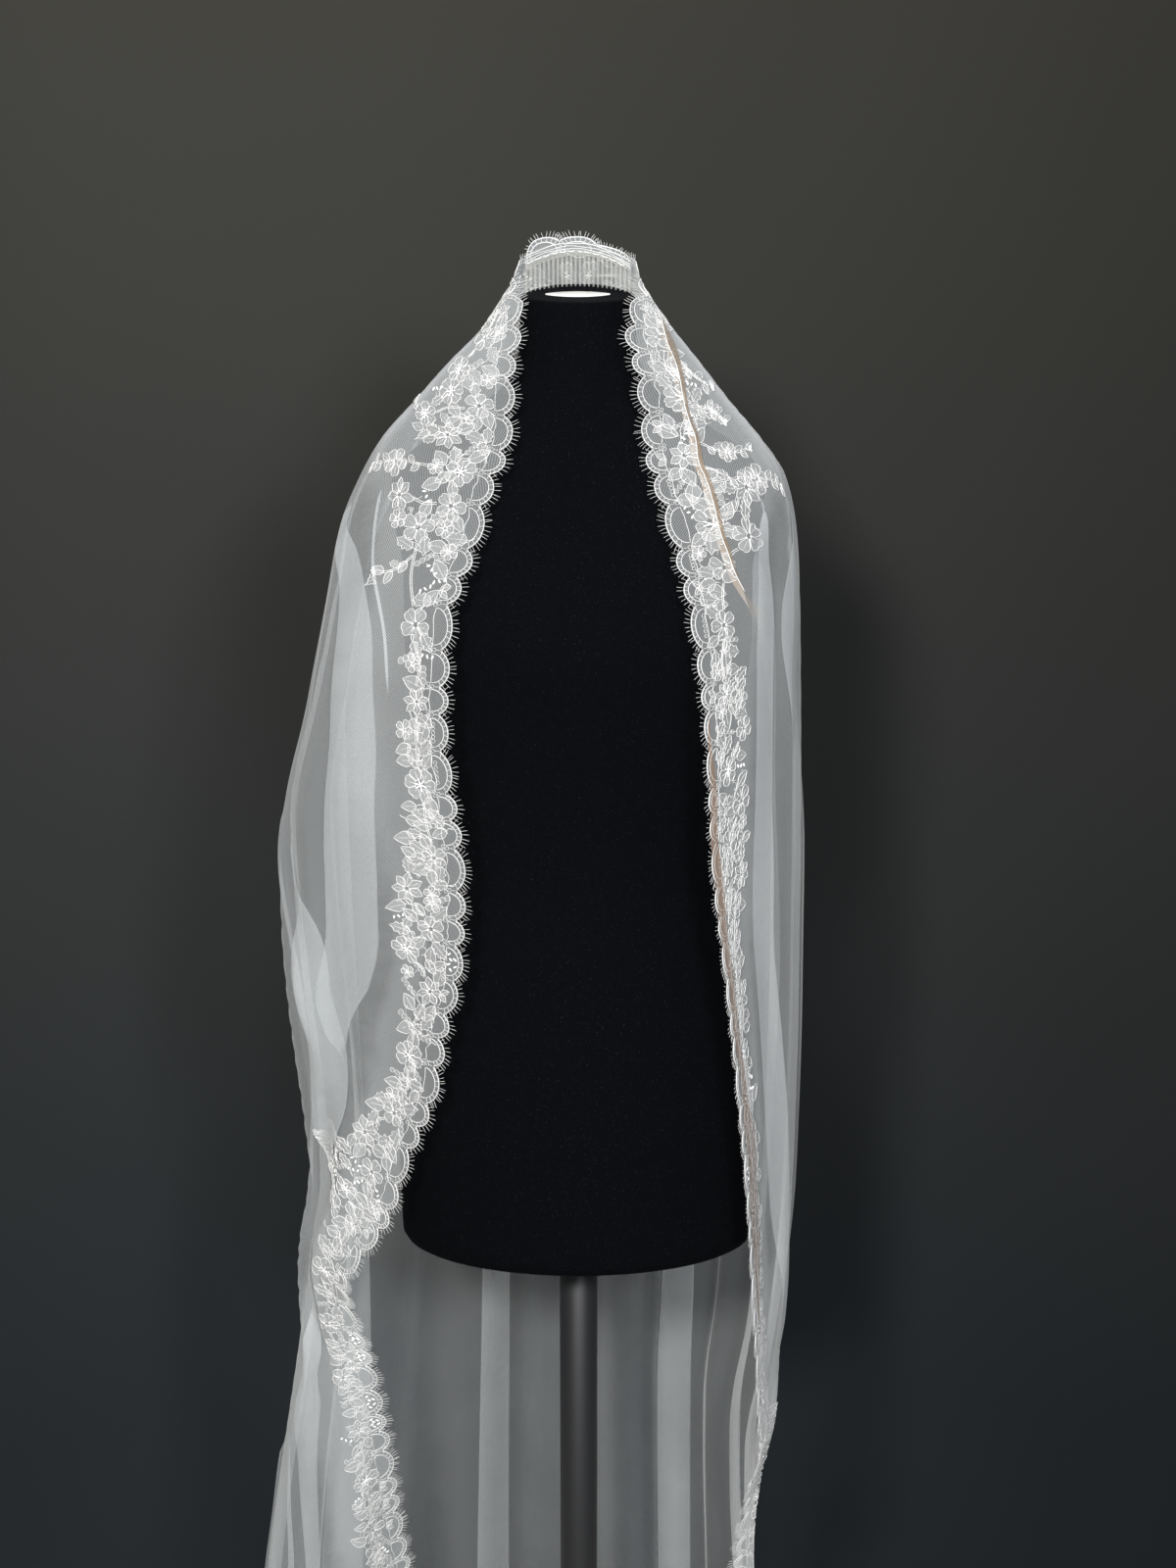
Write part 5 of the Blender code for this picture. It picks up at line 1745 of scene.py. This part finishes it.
@dataclass
class Needle:
    """Turns strokes and fills in the border's places into meshes on the sheet."""

    rim: Rim
    half: Half

    def place(self, band: Array) -> Mesh:
        """Points and normals of the sheet for places in the border."""
        flat = self.rim.flat(self.half, band)
        return self.rim.drape.surface(flat), self.rim.drape.normal(flat)

    def tubes(self, strokes: list[Stroke], sides: int) -> Mesh:
        """Tubes along strokes, closed at both ends.

        Args:
            strokes: The threads.
            sides: How many sides each has.

        Returns:
            The points and the faces.
        """
        counts = np.array([len(s.band) for s in strokes])
        middle, normal = self.place(np.vstack([s.band for s in strokes]))
        radius = np.concatenate([s.radius for s in strokes])
        lift = np.repeat([s.lift for s in strokes], counts)
        last = np.cumsum(counts) - 1
        first = last - counts + 1
        after, before = np.arange(len(middle)) + 1, np.arange(len(middle)) - 1
        after[last], before[first] = last, first
        along = unit(middle[after] - middle[before])
        side = unit(np.cross(along, normal))
        up = np.cross(side, along)
        middle = middle + up * lift[:, None]
        turns = math.pi / 2 + 2 * math.pi * np.arange(sides) / sides
        ring = (np.cos(turns)[:, None] * side[:, None, :] + np.sin(turns)[:, None] * up[:, None, :])
        points = (middle[:, None, :] + radius[:, None, None] * ring).reshape(-1, 3)
        start = np.setdiff1d(np.arange(len(middle)), last)[:, None] * sides
        k = np.arange(sides)
        a, b = start + k, start + (k + 1) % sides
        quads = np.stack([a, a + sides, b + sides, b], -1).reshape(-1, 4)
        faces = [quads[:, [0, 1, 2]], quads[:, [0, 2, 3]]]
        fan = np.column_stack([np.zeros(sides - 2, int), np.arange(1, sides - 1), np.arange(2, sides)])
        faces.append((first[:, None, None] * sides + fan).reshape(-1, 3))
        faces.append((last[:, None, None] * sides + fan[:, ::-1]).reshape(-1, 3))
        return points, np.vstack(faces)

    def fans(self, outlines: list[Array]) -> tuple[Array, Array, Array]:
        """Flat fills inside outlines, as fans about their middles.

        Args:
            outlines: Closed lines in the border's places.

        Returns:
            The points, the faces and a flat place for each point in metres.
        """
        counts = np.array([len(line) for line in outlines])
        band = np.vstack([np.vstack([line.mean(0), line]) for line in outlines])
        start = np.cumsum(counts + 1) - counts - 1
        faces = []
        for first, count in zip(start, counts):
            k = np.arange(count)
            faces.append(np.column_stack([np.full(count, first), first + 1 + k,
                                          first + 1 + (k + 1) % count]))
        middle, normal = self.place(band)
        points = middle + normal * FILL_LIFT
        return points, np.vstack(faces), band * MM


LASH_CROWN_AT = (0.0, 40.0, 60.0)
LASH_CROWN = {                  # how long the lashes are at those ways from the crown
    Half.LEFT: (0.8, 0.8, 1.0),
    Half.RIGHT: (0.5, 0.55, 1.0),
}


@dataclass
class Lashes:
    """The eyelash fringe: cut warp threads that stand square to each scallop."""

    rim: Rim
    half: Half
    seed: int
    spacing: float = 2.5
    radius: float = 0.23
    long: float = 6.9
    taper: Spot = (1.0, 0.9, 0.55)      # the thickness at its root, half way and at its tip

    def build(self, material: Material) -> Piece:
        """Makes the fringe.

        Args:
            material: The thread.

        Returns:
            The piece.
        """
        rng = np.random.default_rng(self.seed)
        edge = self.rim.edges[self.half]
        limit = math.asin(SCALLOP_PITCH / 2 / SCALLOP_R) * 0.98
        strokes = []
        centre = np.array([0.0, EDGE_D + SCALLOP_R])
        for n in edge.numbers():
            stretch = (edge.cusps[n + 1] - edge.cusps[n]) / SCALLOP_PITCH
            count = int(2 * limit * SCALLOP_R * stretch / self.spacing)
            crown = float(np.interp(edge.cusps[n], LASH_CROWN_AT, LASH_CROWN[self.half]))
            for t in np.linspace(-limit, limit, count):
                turn = t + rng.normal(0, 0.02)
                lean = turn * 0.85 + rng.normal(0, 0.06)
                root = centre + (SCALLOP_R - 0.6) * outwards(turn)
                long = crown * self.long * rng.uniform(0.82, 1.06) * (0.8 + 0.2 * math.cos(t * 1.3))
                way = outwards(lean)
                bend = rng.normal(0, 0.3)
                even = np.array([root, root + way * long * 0.5 + [bend * 0.4, 0],
                                 root + way * long + [bend, 0]])
                strokes.append(Stroke(edge.bend(n, even), np.array(self.taper) * self.radius, 0.2))
        mesh = Needle(self.rim, self.half).tubes(strokes, 3)
        piece = make_piece(f"lash_fringe_{self.half.value}", *mesh, material, "lace")
        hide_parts(f"lash_{self.half.value}")
        return piece


class PaintedShadeSpot(NamedTuple):
    """A place on the painted tan shade that shows along the right border."""

    s: float
    d: float
    wide: float


# painted shade: where the tan of the fold's shadowed underside runs along the right border
PAINTED_SHADE_SPOTS = table(
    PaintedShadeSpot,
    (450, 14, 1), (520, 14, 9), (620, 18, 14), (715, 22, 13),
    (775, 28, 15), (815, 34, 28), (900, 34, 28), (1000, 30, 2),
)


@dataclass
class PaintedShadeCrease:
    """The edge of the fold laid over in the right border: a strip of painted tan shade and warm reflected
    light beside a cord.
    """

    drape: Drape
    rim: Rim
    lift: float = 3.0
    low_lift: float = 0.68      # only the cords' tops stand out of it
    wide: float = 3.0
    wide_top: float = 5.5       # how much wider the strip is near the shoulder

    def build(self, fold_shade: Material, fold_shade_low: Material,
              cord: Material) -> list[Piece]:
        """Makes the strip of painted tan shade, its cord and the lower run.

        Args:
            fold_shade: The strip's finish.
            fold_shade_low: The lower run's finish.
            cord: The cord's finish.

        Returns:
            The pieces.
        """
        pleat, _, tip = next(row for row in self.drape.pleats if row[0].tan)
        z = np.arange(pleat.laps[-1].z + 30.0, pleat.laps[0].z - 4.0, 3.0)
        wide = self.wide + self.wide_top * np.exp(-(((z - z[-1] + 12.0) / 22.0) ** 2))
        wide *= np.clip(np.minimum((z - z[0]) / 40.0, (z[-1] - z) / 22.0), 0.12, 1)
        wave = 0.4 * np.sin(z / 7.0)

        def line(shift: Array) -> Array:
            """Points that run along the fold's edge, off to one side."""
            flat = np.column_stack([tip(z) + shift + wave, z])
            return self.drape.point(self.drape.at_of(*flat.T), z, self.lift)

        shares = (-0.5, 0.0, 0.5)
        points = np.vstack([line(share * wide) for share in shares])
        uv = np.vstack([np.column_stack([share * wide, z]) for share in shares]) * MM
        faces = grid_faces(len(shares), len(z))
        strip = make_piece("crease_shade_right", points, faces, fold_shade, "lace", uv)
        along = wire(line(wide / 2 + 0.5), 0.42, 6)
        return [strip, make_piece("crease_cord_right", *along, cord, "lace"), self.low(fold_shade_low)]

    def low(self, fold_shade: Material) -> Piece:
        """The lower run of painted tan shade and warm reflected light, which hides all but the tops of
        the border's cords.

        Args:
            fold_shade: Its finish.

        Returns:
            The piece.
        """
        s = np.arange(PAINTED_SHADE_SPOTS[0].s, PAINTED_SHADE_SPOTS[-1].s, 3.0)
        d, wide = column(PAINTED_SHADE_SPOTS, "d", "s")(s), column(PAINTED_SHADE_SPOTS, "wide", "s")(s)
        d = d + 1.2 * np.sin(s / 13.0)
        shares = np.linspace(-0.5, 0.5, 9)
        band = np.vstack([np.column_stack([s, d + share * wide]) for share in shares])
        middle, normal = Needle(self.rim, Half.RIGHT).place(band)
        return make_piece("crease_shade_low", middle + normal * self.low_lift,
                          grid_faces(len(shares), len(s)), fold_shade, "lace", band * MM)


# --- the comb ------------------------------------------------------------------------------
@dataclass
class Comb:
    """A clear comb with an arched spine, and the thread that holds the veil to it."""

    width: float = 83.0
    teeth: int = 24
    tooth: float = 1.7
    thick: float = 2.0
    spine: float = 4.5
    spine_z: float = 1536.0
    arch: float = 12.0          # how much lower the spine's ends lie
    tooth_long: float = 24.0
    back_y: float = 17.5
    sag_y: float = 11.0         # how much further forward its ends lie
    stitch: float = 6.0         # length of one stitch along the spine
    gap_x: float = 2.0          # where a short one stands alone between two gaps

    def y(self, x: Array) -> Array:
        """How far back the comb lies at a place across it."""
        return self.back_y - self.sag_y * (x / (self.width / 2)) ** 2

    def top(self, x: Array) -> Array:
        """The height of the spine's top at a place across it."""
        return self.spine_z - self.arch * (x / (self.width / 2)) ** 2

    def row(self, x: Array) -> Array:
        """The height of the row of stitches, which runs a little lower to the right."""
        return self.top(x) - 0.8 - 2.0 * x / (self.width / 2)

    def section(self, middle: Array, across: Array, up: Array, wide: float, high: float) -> Array:
        """A ring with round corners.

        Args:
            middle: Its middle.
            across: The unit way of its width.
            up: The unit way of its height.
            wide: Its width.
            high: Its height.

        Returns:
            Ten points.
        """
        t = np.linspace(0, 2 * math.pi, 10, endpoint=False)
        c, s = np.cos(t), np.sin(t)
        c, s = np.sign(c) * np.abs(c) ** 0.6, np.sign(s) * np.abs(s) ** 0.6
        return middle + c[:, None] * across * wide / 2 + s[:, None] * up * high / 2

    def ways(self, x: float) -> tuple[Array, Array]:
        """The unit ways along the comb and out of its front, at a place across it."""
        slope = -2 * self.sag_y * x / (self.width / 2) ** 2
        size = math.hypot(slope, 1.0)
        return np.array([1.0, slope, 0.0]) / size, np.array([slope, -1.0, 0.0]) / size

    def spine_bar(self) -> Mesh:
        """The arched spine, with round ends."""
        half, rings = self.width / 2, []
        for x in np.linspace(-half, half, 61):
            share = math.sqrt(max(1 - (abs(x) / half) ** 24, 0.04))
            middle = np.array([x, self.y(x), self.top(x) - self.spine / 2])
            rings.append(self.section(middle, self.ways(x)[1], np.array([0, 0, 1.0]),
                                      self.thick * share, self.spine * share))
        return loft(np.array(rings))

    def prongs(self, form: "DressForm") -> list[Mesh]:
        """The teeth.

        Args:
            form: What they end above.

        Returns:
            One tapered body a tooth.
        """
        half, parts = self.width / 2, []
        end_tip = form.neck_top(self.y(half)) + 0.3 + self.thick * math.tan(form.neck_tilt)
        mid_tip = self.spine_z - self.spine - self.tooth_long
        pitch = (self.width - self.tooth) / (self.teeth - 1)
        for k in range(self.teeth):
            x = -half + self.tooth / 2 + k * pitch
            tip = max(mid_tip + (end_tip - mid_tip) * (x / half) ** 2, end_tip)
            root = self.top(x) - self.spine + 0.4
            long = root - tip
            rows = [(0.0, 1.15), (1.2, 1.0), (long - 4.0, 0.88), (long - 1.0, 0.75),
                    (long - 0.3, 0.5), (long, 0.15)]
            rings = [self.section(np.array([x, self.y(x), root - down]), *self.ways(x),
                                  self.tooth * size, self.thick * size * 0.9) for down, size in rows]
            parts.append(loft(np.array(rings)))
        return parts

    def build(self, plastic: Material, thread: Material,
              net: Material, form: "DressForm") -> list[Piece]:
        """Makes the comb and what sews the veil to it.

        Args:
            plastic: The comb's finish.
            thread: The thread's finish.
            net: The strip's finish.
            form: What the teeth end above.

        Returns:
            The pieces.
        """
        mesh = join([self.spine_bar(), *self.prongs(form)])
        comb = make_piece("comb_clear", *mesh, plastic, "clear_plastic")
        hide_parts("comb")
        return [comb, self.binding(thread), self.wrap(net)]

    def binding(self, thread: Material) -> Piece:
        """The lace's foot over the spine: three cords along it and a line of sagging stitches.

        Args:
            thread: Its finish.

        Returns:
            The piece.
        """
        parts = []
        half = self.width / 2
        x = np.linspace(-half - 0.5, half + 0.5, 56)
        front = self.thick / 2 + 0.9
        for rise, radius in ((1.5, 0.26), (3.4, 0.24), (5.6, 0.3)):
            sway = 0.35 * np.sin(x * 0.23 + rise)
            parts.append(wire(np.column_stack([x, self.y(x) - front, self.row(x) + rise + sway]),
                              radius, 6))
        for start in np.arange(-half + 0.8, half - 5.6, self.stitch + 0.5):
            if abs(start + self.stitch / 2 - self.gap_x) < self.stitch * 0.9:
                continue
            f = np.linspace(0, 1, 7)
            run = start + f * self.stitch
            z = self.row(run) - 0.9 * np.sin(math.pi * f)
            parts.append(wire(np.column_stack([run, self.y(run) - front, z]), 0.5, 6))
        run = self.gap_x + np.linspace(-1.8, 1.8, 7)
        z = self.row(run) - np.cos(np.linspace(-1.5, 1.5, 7))
        parts.append(wire(np.column_stack([run, self.y(run) - front, z]), 0.5, 6))
        return make_piece("comb_stitches", *join(parts), thread, "lace")

    def wrap(self, net: Material) -> Piece:
        """The strip of ground that folds over the spine and is sewn down in front of it.

        Args:
            net: Its finish.

        Returns:
            The piece.
        """
        x = np.linspace(-self.width / 2 - 0.5, self.width / 2 + 0.5, 57)
        rows = ((6.6, 2.2), (5.6, 0.4), (3.4, -0.45), (1.5, -0.5), (-0.6, -0.5), (-2.2, -0.45))
        points, uv = [], []
        for k, (rise, front) in enumerate(rows):
            points.append(np.column_stack([x, self.y(x) - self.thick / 2 + front, self.row(x) + rise]))
            uv.append(np.column_stack([x, np.full(len(x), 2.0 * k)]) * MM)
        faces = grid_faces(len(rows), len(x))[:, [0, 3, 2, 1]]
        return make_piece("comb_wrap", np.vstack(points), faces, net, "lace", np.vstack(uv))


def wire(line: Array, radius: float, sides: int) -> Mesh:
    """A closed tube along a line in space.

    Args:
        line: Points, one a row.
        radius: The tube's radius.
        sides: How many sides.

    Returns:
        The points and the faces.
    """
    along = unit(np.gradient(line, axis=0))
    side = unit(np.cross(along, np.tile([0.0, 0.0, 1.0], (len(line), 1))))
    up = np.cross(side, along)
    t = 2 * math.pi * np.arange(sides) / sides
    ring = np.cos(t)[:, None] * up[:, None, :] + np.sin(t)[:, None] * side[:, None, :]
    taper = np.ones(len(line))
    taper[0] = taper[-1] = 0.55
    return loft(line[:, None, :] + radius * taper[:, None, None] * ring)


# --- the form and its stand ----------------------------------------------------------------
@dataclass
class DressForm:
    """A limbless dress form covered in velvet, on a round-footed stand."""

    sides: int = 112
    neck_r: float = 45.0
    neck_top_z: float = 1501.5
    neck_tilt: float = math.radians(5.0)
    neck_rise: float = 3.0      # how far the padding swells up at the back of the neck's top
    cap_half: float = 25.5      # the slit in the cover that shows the white disc: half its width
    cap_deep: float = 12.5      # and half its depth
    cap_forward: float = 2.0
    pole_r: float = 16.0
    pole_top_z: float = 715.7
    foot_r: float = 190.0
    foot_thick: float = 12.0

    @property
    def turns(self) -> Array:
        """The angles round a ring."""
        return np.linspace(0, 2 * math.pi, self.sides, endpoint=False)

    def neck_top(self, y: float | Array) -> float | Array:
        """The height of the neck's leaning top."""
        return self.neck_top_z + y * math.tan(self.neck_tilt)

    def turned(self, rows: Sequence[tuple[float, float]]) -> Mesh:
        """A turned body from (radius, height) rows, bottom to top."""
        t = self.turns
        rings = [np.column_stack([r * np.cos(t), r * np.sin(t), np.full(len(t), z)]) for r, z in rows]
        return loft(np.array(rings))

    def build(self, velvet: Material, cap: Material, coat: Material) -> list[Piece]:
        """The form in its velvet, its neck's disc, and its painted foot and pole."""
        return [self.cover(velvet), self.disc(cap), *self.stand(coat)]

    def cover(self, velvet: Material) -> Piece:
        """The torso and the neck.

        Args:
            velvet: Their cover.

        Returns:
            The piece.
        """
        t = self.turns
        tracks = {n: column(TORSO, n) for n in ("half", "front", "back")}
        rings = []
        bottom = ((716.0, 0.955), (717.2, 0.975), (720.0, 0.992))
        for z, share in (*bottom, *((z, 1.0) for z in np.arange(726.0, 1455.0, 9.0)), (1455.0, 1.0)):
            half, front, back = (float(tracks[n](z)) for n in tracks)
            y = np.where(np.sin(t) < 0, front, back) * np.sin(t)
            rings.append(np.column_stack([half * np.cos(t), y, np.full(len(t), z)]) * [share, share, 1])
        neck = ((0.0, 14.0), (0.0, 2.0), (0.5, 0.7), (2.0, 0.0), (8.0, 0.0), (16.0, 0.0), (26.0, 0.0))
        for less, drop in neck:
            x, y = (self.neck_r - less) * np.cos(t), (self.neck_r - less) * np.sin(t)
            rise = self.neck_rise * np.clip((y - 14.0) / 26.0, 0, 1) ** 1.3
            rings.append(np.column_stack([x, y, self.neck_top(y) + rise - drop]))
        torso = make_piece("form_cover", *loft(np.array(rings)), velvet, "velvet")
        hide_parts("form_torso")
        return torso

    def disc(self, cap: Material) -> Piece:
        """The neck's disc, as far as the slit in the cover shows it.

        Args:
            cap: Its finish.

        Returns:
            The piece.
        """
        t = self.turns
        rings = []
        for less, up in ((0.3, 0.3), (0.0, 0.5), (0.0, 1.1), (0.3, 1.4), (0.9, 1.5)):
            x = (self.cap_half - less) * np.cos(t)
            y = (self.cap_deep - less) * np.sin(t) * np.abs(np.sin(t)) ** 0.7 - self.cap_forward
            rings.append(np.column_stack([x, y, self.neck_top(y) + up]))
        disc = make_piece("neck_cap", *loft(np.array(rings)), cap, "cap_plastic")
        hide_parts("form_neck_cap")
        return disc

    def stand(self, coat: Material) -> list[Piece]:
        """The turned foot and pole.

        Args:
            coat: Their paint.

        Returns:
            The two pieces.
        """
        r, f = self.foot_r, self.foot_thick
        foot_rows = ((r - 1.0, 0.0), (r, 1.0), (r, f - 4.0), (r - 0.4, f - 2.4), (r - 1.5, f - 1.0),
                     (r - 3.0, f - 0.2), (r - 4.5, f))
        foot = make_piece("stand_foot", *self.turned(foot_rows), coat, "black_metal")
        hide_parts("stand_base")
        p = self.pole_r
        pole_rows = ((p - 0.3, f + 0.3), (p, f + 0.8), (p, self.pole_top_z - 0.6),
                     (p - 0.4, self.pole_top_z))
        pole = make_piece("stand_tube", *self.turned(pole_rows), coat, "black_metal")
        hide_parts("stand_pole")
        return [foot, pole]


# --- the studio ----------------------------------------------------------------------------
@dataclass
class Studio:
    """The camera, a pale floor, a dark round backdrop and soft lights."""

    camera_at: Spot = (0.008, -2.20, 1.60)
    aim_at: Spot = (0.008, 0.0, 1.108)
    lens: float = 63.405
    wall_r: float = 0.72
    wall_top: float = 3.2
    floor_colour: str = "#8f8d88"
    wall_colour: str = "#41403b"
    # painted shade: the backdrop's colour low down, and how much darker its right side is
    wall_low: str = "#292d30"
    wall_right: float = 0.68    # how bright its right is beside its left, as painted shade
    wall_sides: int = 96

    def aimed(self, name: str, data: bpy.types.ID, at: Spot, target: Spot) -> Piece:
        """Places the camera or a light and turns it to a target."""
        thing = bpy.data.objects.new(name, data)
        bpy.context.collection.objects.link(thing)
        thing.location = at
        thing.rotation_euler = (Vector(target) - Vector(at)).to_track_quat("-Z", "Y").to_euler()
        return thing

    def camera(self) -> None:
        """The view."""
        data = bpy.data.cameras.new("camera")
        data.lens = self.lens
        data.sensor_width = 36.0
        bpy.context.scene.camera = self.aimed("camera", data, self.camera_at, self.aim_at)
        bpy.context.scene.view_settings.view_transform = "Standard"

    def light(self, name: str, at: Spot, size: float, watts: float,
              colour: str) -> None:
        """One soft area light, aimed at the form's chest.

        Args:
            name: Its name.
            at: Its place.
            size: Its width in metres.
            watts: Its power.
            colour: Its hex colour.
        """
        data = bpy.data.lights.new(name, "AREA")
        data.shape = "DISK"
        data.size = size
        data.energy = watts
        data.color = linear(colour)[:3]
        self.aimed(name, data, at, (0.0, 0.0, 1.0))

    def paint(self, name: str, colour: str, low_shade_colour: str, right_shade_share: float,
              see_through_back: bool) -> Material:
        """Matt paint, darker low down and towards the right where asked: painted shade.

        Args:
            name: The material's name.
            colour: Its colour high up.
            low_shade_colour: Its colour low down.
            right_shade_share: How bright it is at the right beside the left.
            see_through_back: Whether it lets the view through from behind.

        Returns:
            The material.
        """
        shader = Shader(bpy.data.materials.new(name))
        add = shader.add
        place = add("TexCoord").outputs["Object"]
        cloud = add("TexNoise", {"Vector": place, "Scale": 1.5, "Detail": 2.0})
        tone = add("MapRange", {"Value": cloud, "To Min": 0.93, "To Max": 1.07})
        split = add("SeparateXYZ", {0: place})
        # painted shade: darker low down and towards the right, where the light falls off
        share = add("MapRange", {"Value": split.outputs["Z"], "From Min": 0.3, "From Max": 2.0})
        side = add("MapRange", {"Value": split.outputs["X"], "From Min": -0.5, "From Max": 0.5,
                                "To Min": 1.0, "To Max": right_shade_share})
        tone = add("Math", {0: tone, 1: side}, operation="MULTIPLY")
        fade = add("Mix", {0: share, 6: linear(low_shade_colour), 7: linear(colour)}, data_type="RGBA")
        colour_mix = add("VectorMath", {0: fade.outputs[2], "Scale": tone}, operation="SCALE")
        surface = add("BsdfDiffuse", {"Color": colour_mix})
        if see_through_back:
            back = add("NewGeometry").outputs["Backfacing"]
            clear = add("BsdfTransparent")
            surface = add("MixShader", {0: back, 1: surface, 2: clear})
        add("OutputMaterial", {"Surface": surface})
        return shader.owner

    def stage_piece(self, name: str, points: Array, faces: list, material: Material) -> Piece:
        """A piece of the studio, which isn't part of the object.

        Args:
            name: Its name.
            points: Corners in metres.
            faces: Corner numbers.
            material: Its paint.

        Returns:
            The piece.
        """
        mesh = bpy.data.meshes.new(name)
        mesh.from_pydata([tuple(p) for p in points], [], faces)
        mesh.update()
        mesh.shade_smooth()
        mesh.materials.append(material)
        piece = bpy.data.objects.new(name, mesh)
        bpy.context.collection.objects.link(piece)
        piece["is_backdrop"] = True
        return piece

    def build(self) -> None:
        """Sets up everything round the object."""
        self.camera()
        floor = self.paint("floor_paint", self.floor_colour, self.floor_colour, 1.0, False)
        self.stage_piece("floor", np.array([(-8, -8, 0), (8, -8, 0), (8, 8, 0), (-8, 8, 0)]),
                         [(0, 1, 2, 3)], floor)
        wall = self.paint("wall_paint", self.wall_colour, self.wall_low, self.wall_right, True)
        n = self.wall_sides
        t = np.linspace(0, 2 * math.pi, n, endpoint=False)
        ring = np.column_stack([self.wall_r * np.cos(t), self.wall_r * np.sin(t)])
        points = np.vstack([np.column_stack([ring, np.full(n, z)]) for z in (0.0, self.wall_top)])
        faces = [(k, k + n, (k + 1) % n + n, (k + 1) % n) for k in range(n)]
        drum = self.stage_piece("backdrop", points, faces, wall)
        drum.visible_shadow = drum.visible_diffuse = False
        drum.visible_glossy = drum.visible_transmission = False
        self.light("key", (-0.58, -2.9, 2.3), 0.4, 118.0, "#fffdfa")
        self.light("fill", (0.72, -2.9, 2.1), 0.5, 70.0, "#f6f9ff")
        self.light("top", (0.2, 1.6, 3.4), 1.6, 60.0, "#ffffff")
        shader = Shader(bpy.data.worlds.new("world"))
        glow = shader.add("Background", {"Color": linear("#b9bcc2"), "Strength": 0.2})
        shader.add("OutputWorld", {"Surface": glow})
        bpy.context.scene.world = shader.owner


LACE_SEED, LASH_SEED = 40, 70


def main() -> None:
    """Builds every sub-assembly in order and reports each piece."""
    logging.basicConfig(level=logging.INFO, format="%(name)s %(message)s")
    cad_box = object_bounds()
    Studio().build()
    drape = Drape()
    rim = Rim(drape)
    cord, satin, fill = CottonCord().build(), SatinStitch().build(), PetalFill().build()
    net = NetShell(drape, rim)
    tulle = TulleNet().build()
    sheet = net.build(tulle)
    trims = []
    for seed, half in enumerate(Half):
        trims += LaceBand(rim, half, LACE_SEED + seed).build({"cord": cord, "satin": satin, "fill": fill})
        trims.append(Lashes(rim, half, LASH_SEED + seed).build(cord))
    # painted shade: tan finishes for the fold's shadowed, warmly lit strip and its lower run
    fold_shade = PetalFill("fold_shade_net", "#96826a", 0.8, 0.6).build()
    fold_shade_low = PetalFill("fold_shade_lace", "#b39175", 0.85, 0.6).build()
    trims += PaintedShadeCrease(drape, rim).build(fold_shade, fold_shade_low, cord)
    form = DressForm()
    comb = Comb().build(ClearPlastic().build(), cord, tulle, form)
    body = form.build(BlackVelvet().build(), CAP_PLASTIC.build(), POWDER_COAT.build())
    [[list(map(float, corner)) for corner in box] for box in (cad_box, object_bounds())]


if __name__ == "__main__":
    main()
